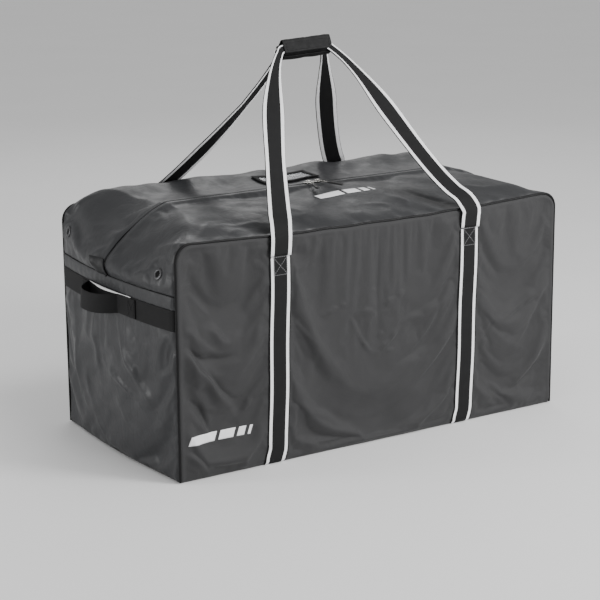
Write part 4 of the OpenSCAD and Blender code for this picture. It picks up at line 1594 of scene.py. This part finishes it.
def slider(word):
    """Slider: two plates, the post between them at the nose, and the bar that holds the pull."""
    node, pin = f"{word}_slider", pin_of(word)
    low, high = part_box(node)
    length = high.x - low.x - 1 * MM
    plate_z = ZIP_Z + 0.6 * MM
    half_bar = length / 2 - 4.5 * MM
    bar = [(-half_bar - 1.5 * MM, pin.y, plate_z + 1 * MM),
           (-half_bar - 0.9 * MM, pin.y, pin.z - 0.8 * MM),
           (-half_bar, pin.y, pin.z), (0, pin.y, pin.z)]
    bar += [(-x, y, z) for x, y, z in bar[-2::-1]]
    post = in_mm((0.1, -6), (0.5, -6), (0.5, 0.9), (0.1, 0.9))
    obj = joined(f"{word}_slider_body", [
        rounded_plate(length, 12.6 * MM, length / 2, 1.7 * MM, plate_z),
        rounded_plate(length - 1.5 * MM, 12.0 * MM, length / 2 - 0.7 * MM, 1.2 * MM, ZIP_Z - 6.4 * MM),
        swept(smooth_line(bar, 36), (0, 1, 0), circle(0.9 * MM, 10)),
        lathe_part(post, Matrix.Translation((length / 2 - 3.4 * MM, 0, plate_z)), 12),
    ], NICKEL)
    if word == "right":
        turned_over(obj, x=-1)
    obj.data.transform(Matrix.Translation(((low.x + high.x) / 2, 0, 0)))
    fitted(obj, f"{word}_zip_slider", "metal", node)


def barrel(inner, outer, half_width, place):
    """Short tube along X, round the slider's bar."""
    edge = 0.3 * MM
    profile = [(inner, -half_width), (outer - 0.2 * MM, -half_width), (outer, edge - half_width),
               (outer, half_width - edge), (outer - 0.2 * MM, half_width), (inner, half_width)]
    return lathe_part(profile, place @ Matrix.Rotation(math.pi / 2, 4, "Y"), 16)


def shank(reach, place):
    """Flat tongue from the barrel, with a rounded end that holds the wire link."""
    ys = np.linspace(-1.4 * MM, -reach, 12)
    stations = [-reach, -reach + 1 * MM, -reach + 3 * MM, -1.4 * MM]
    width = np.interp(ys, stations, [1.2, 2.1, 2.6, 2.0]) * MM
    section = [(-1, -0.5), (-0.9, 0.5), (0.9, 0.5), (1, -0.5)]
    size = np.stack([width, 0 * ys + 1.2 * MM], 1)
    return swept(np.stack([0 * ys, ys, 0 * ys], 1), (1, 0, 0), section, size, place=place)


def wire_ring(half_w, length, radius, place):
    """Closed rounded link of wire in the XY plane, from just behind the origin along -Y."""
    line = []
    for start, middle in ((0, 1.2 * MM - half_w), (math.pi, half_w - length)):
        for a in np.linspace(start, start + math.pi, 9):
            line.append((half_w * math.cos(a), half_w * math.sin(a) + middle, 0))
    path = resample(line + line[:1], 44)[:-1]
    return swept(path, (0, 0, 1), circle(radius, 8), closed=True, place=place)


def ribbed_grip(start, length, place):
    """Soft moulding along -Y, with ribs across its middle."""
    ys = np.linspace(0, 1, 40)
    ribs = 0.35 * MM * (0.5 + 0.5 * np.cos(ys * 34)) * ease((ys - 0.18) / 0.1) * ease((0.9 - ys) / 0.1)
    width = (4.3 * MM - ribs) * np.sqrt(np.maximum(1 - ((ys - 0.9) / 0.1).clip(0)**2, 0.02))
    width = width * (0.72 + 0.28 * ease(ys / 0.16))
    thick = (2.2 * MM - ribs * 0.7) * (0.7 + 0.3 * ease(ys / 0.2)) * np.where(ys > 0.95, 0.65, 1)
    path = np.stack([0 * ys, -start - ys * length, 0 * ys], 1)
    outline = circle(1, 16)
    outline = np.sign(outline) * np.abs(outline)**0.6
    return swept(path, (1, 0, 0), outline, np.stack([width, thick], 1), place=place)


def pull(word, turn):
    """Barrel on the slider's bar, a flat shank, a wire link and a ribbed soft grip."""
    body = f"{word}_zip_pull"
    place = Matrix.Translation(pin_of(word)) @ Matrix.Rotation(math.radians(3.5), 4, "X")
    swing = place @ Matrix.Translation((0, -7 * MM, 0)) @ Matrix.Rotation(math.radians(turn), 4, "Z")
    link = joined(f"{word}_pull_wire", [
        barrel(1.0 * MM, 1.9 * MM, 2.2 * MM, place),
        shank(8 * MM, place),
        wire_ring(2.5 * MM, 26 * MM, 0.9 * MM, swing),
    ], NICKEL)
    fitted(link, body, "metal", f"{word}_pull_link")
    grip = joined(f"{word}_pull_moulding", [ribbed_grip(22 * MM, 38 * MM, swing)], GRIP)
    fitted(grip, body, "moulded", f"{word}_pull_grip")


for word, turn in (("left", -17), ("right", 24)):
    slider(word)
    pull(word, turn)

# ---------------------------------------------------------------- vents


EYELET = in_mm((6.0, -3.6), (6.0, 0.6), (6.6, 1.6), (8.2, 2.0), (10.4, 1.7), (11.8, 0.9), (12.2, -0.2),
               (11.0, -0.6), (8.4, -0.4), (7.6, -3.4))
# A near-black disc across each eyelet's hole, level with the cloth: painted shade of the hole's inside.
HOLE_SHADE_DISC = in_mm((0.05, -0.1), (6.4, -0.1), (6.4, 0.3), (0.05, 0.3))


def vent_pieces(name, half, profile, count, material, slot, *nodes):
    """The same turned shape seated in both skirts of one half of the top."""
    tree, face = (FRONT_TOP_TREE, -1) if half == "front" else (BACK_TOP_TREE, 1)
    parts = []
    for side in (-1, 1):
        start = (side * (HALF_L + 0.05), *vent_spot(face))
        parts.append(lathe_part(profile, seated_on(tree, start, (-side, 0, 0), 0.4 * MM), count))
    obj = joined(f"{half}_{name}", parts, material)
    lifts_with(obj, half, *nodes)


for half in ("front", "back"):
    vent_pieces("eyelets", half, EYELET, 28, GUNMETAL, "eyelet", f"{half}_vents")
    # The near-black disc in each eyelet is painted shade of the hole.
    vent_pieces("eyelet_hole_shade", half, HOLE_SHADE_DISC, 20, HOOKS_AND_HOLE_SHADE, "fastener")

# ---------------------------------------------------------------- name window

ID_LOW, ID_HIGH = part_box("id_patch")
ID_X, ID_Y = (ID_LOW.x + ID_HIGH.x) / 2 - 9 * MM, (ID_LOW.y + ID_HIGH.y) / 2
ID_L, ID_W = ID_HIGH.x - ID_LOW.x + 8 * MM, ID_HIGH.y - ID_LOW.y


def window_layer(name, material, margin, lift, thickness, wave=0.0, border=None):
    """One layer of the name window, laid on the cloth; border leaves only a frame that wide."""
    half_l, half_w = ID_L / 2 - margin, ID_W / 2 - margin
    u, v = np.meshgrid(np.linspace(-1, 1, 56), np.linspace(-1, 1, 32), indexing="ij")
    x, y = ID_X + u * half_l, ID_Y + v * half_w
    points = np.zeros((*u.shape, 3))
    for spot in np.ndindex(u.shape):
        points[spot] = laid_on(BACK_TOP_TREE, (x[spot], y[spot], OVER_TOP), (0, 0, -1), 0)
    level = points[..., 2].mean()
    flat = level + (points[..., 2] - level) * 0.9
    points[..., 2] = np.maximum(points[..., 2], flat) + lift + wave * ripples(x, y, 0.05, 44)
    faces = grid_faces(*u.shape)
    if border:
        inset = np.minimum((1 - np.abs(u)) * half_l, (1 - np.abs(v)) * half_w)
        points[..., 2] += 0.9 * MM * np.sin(np.clip(inset / border, 0, 1) * math.pi)
        keep = (inset <= border).ravel()
        faces = [face for face in faces if all(keep[i] for i in face)]
    obj = add_mesh(name, points.reshape(-1, 3), faces, [material])
    return finished(obj, ("SOLIDIFY", {"thickness": thickness, "offset": 1}))


for layer, slot, node in (
    (window_layer("id_backing", TAPE, 0, 0.4 * MM, 0.8 * MM), "binding", "id_patch"),
    (window_layer("id_blank_card", CARD, 12 * MM, 1.4 * MM, 0.4 * MM), "card", "id_card"),
    (window_layer("id_clear_film", FILM, 4 * MM, 2.3 * MM, 0.5 * MM, wave=0.35 * MM),
     "clear_film", "id_window"),
    (window_layer("id_frame", TAPE, 0.5 * MM, 3.0 * MM, 0.9 * MM, border=11 * MM),
     "binding", "id_binding"),
):
    fitted(layer, "back_top", slot, node)

# ---------------------------------------------------------------- plain printed bars


BARS = (0, 62), (70, 34), (112, 16), (136, 6)            # start and width of each bar (mm)


def printed_bars(name, body, tree, ray_at, start, low, high, slant, scale=1.0):
    """Plain slanted bars laid on the cloth, in place of any mark."""
    parts = []
    columns, rows = 24, 8
    for offset, width in BARS:
        verts = []
        for i, j in np.ndindex(columns, rows):
            v = j / (rows - 1)
            u = start + (offset + width * i / (columns - 1)) * MM * scale + slant * v
            verts.append(laid_on(tree, *ray_at(u, low + (high - low) * v), 0.45 * MM))
        parts.append((verts, grid_faces(columns, rows)))
    obj = joined(name, parts, PRINT)
    finished(obj, ("SOLIDIFY", {"thickness": 0.3 * MM, "offset": 0}))
    fitted(obj, body, "stripe")


printed_bars("front_bars", "bag", FRONT_TREE, lambda x, z: ((x, -HALF_W - 0.05, z), (0, 1, 0)),
             -0.449, 0.073, 0.091, 7 * MM)
printed_bars("top_bars", "front_top", FRONT_TOP_TREE, lambda x, y: ((x, y, OVER_TOP), (0, 0, -1)),
             -0.040, -0.094, -0.073, -3 * MM, 0.98)

# ---------------------------------------------------------------- CAD piece that stays

board_mesh = frame["nodes"]["base_board"].data
board_mesh.materials.clear()
board_mesh.materials.append(BOARD)

# ---------------------------------------------------------------- floor, light and camera


def pale_stage():
    """Wide pale floor, and even white light from all round."""
    size = 30.0
    verts = [(-size, -size, 0), (size, -size, 0), (size, size, 0), (-size, size, 0)]
    f = Finish("pale floor", 0.9)
    f.colour([0.80, 0.80, 0.80], [0.84, 0.84, 0.84], f.noise(0.5, 2))
    floor = add_mesh("floor", verts, [(0, 1, 2, 3)], [f.material])
    world = bpy.data.worlds.new("studio")
    bpy.context.scene.world = world
    world.use_nodes = True
    background = world.node_tree.nodes["Background"]
    background.inputs["Color"].default_value = (1, 1, 1, 1)
    background.inputs["Strength"].default_value = 0.65


def soft_light(name, place, target, size, power):
    """Rectangular area light, turned to its target."""
    data = bpy.data.lights.new(name, "AREA")
    data.shape = "RECTANGLE"
    data.size, data.size_y = size
    data.energy = power
    lamp = bpy.data.objects.new(name, data)
    lamp.location = place
    lamp.rotation_euler = (Vector(target) - Vector(place)).to_track_quat("-Z", "Y").to_euler()
    bpy.context.scene.collection.objects.link(lamp)


AZIMUTH = math.radians(-33.01)
ELEVATION = math.radians(14.27)
ROLL = math.radians(-0.47)
DISTANCE = 3.926
LENS = 110.1
LOOK_AT = Vector((-0.032, 0, 0.256))


def reference_camera():
    """The camera that matches the reference view, fitted to the box's corners."""
    back = Vector((math.sin(AZIMUTH) * math.cos(ELEVATION), -math.cos(AZIMUTH) * math.cos(ELEVATION),
                   math.sin(ELEVATION)))
    right = (-back).cross(Vector((0, 0, 1))).normalized()
    up = right.cross(-back)
    turned_right = right * math.cos(ROLL) + up * math.sin(ROLL)
    turned_up = up * math.cos(ROLL) - right * math.sin(ROLL)
    data = bpy.data.cameras.new("camera")
    data.lens, data.sensor_width = LENS, 36
    camera = bpy.data.objects.new("camera", data)
    basis = Matrix((turned_right, turned_up, back)).transposed().to_4x4()
    basis.translation = LOOK_AT + back * DISTANCE
    camera.matrix_world = basis
    bpy.context.scene.collection.objects.link(camera)
    bpy.context.scene.camera = camera


pale_stage()
soft_light("overhead", (0.5, -1.7, 3.0), (0, -0.1, 0.3), (2.0, 1.0), 48)
soft_light("key", (1.9, -3.0, 1.5), (0.1, 0, 0.25), (1.0, 1.6), 104)
soft_light("left rim", (-2.9, 1.0, 0.7), (-0.4, 0, 0.2), (0.6, 1.2), 30)
soft_light("back rim", (1.4, 2.8, 2.2), (0, 0, 0.4), (1.6, 0.8), 14)
reference_camera()
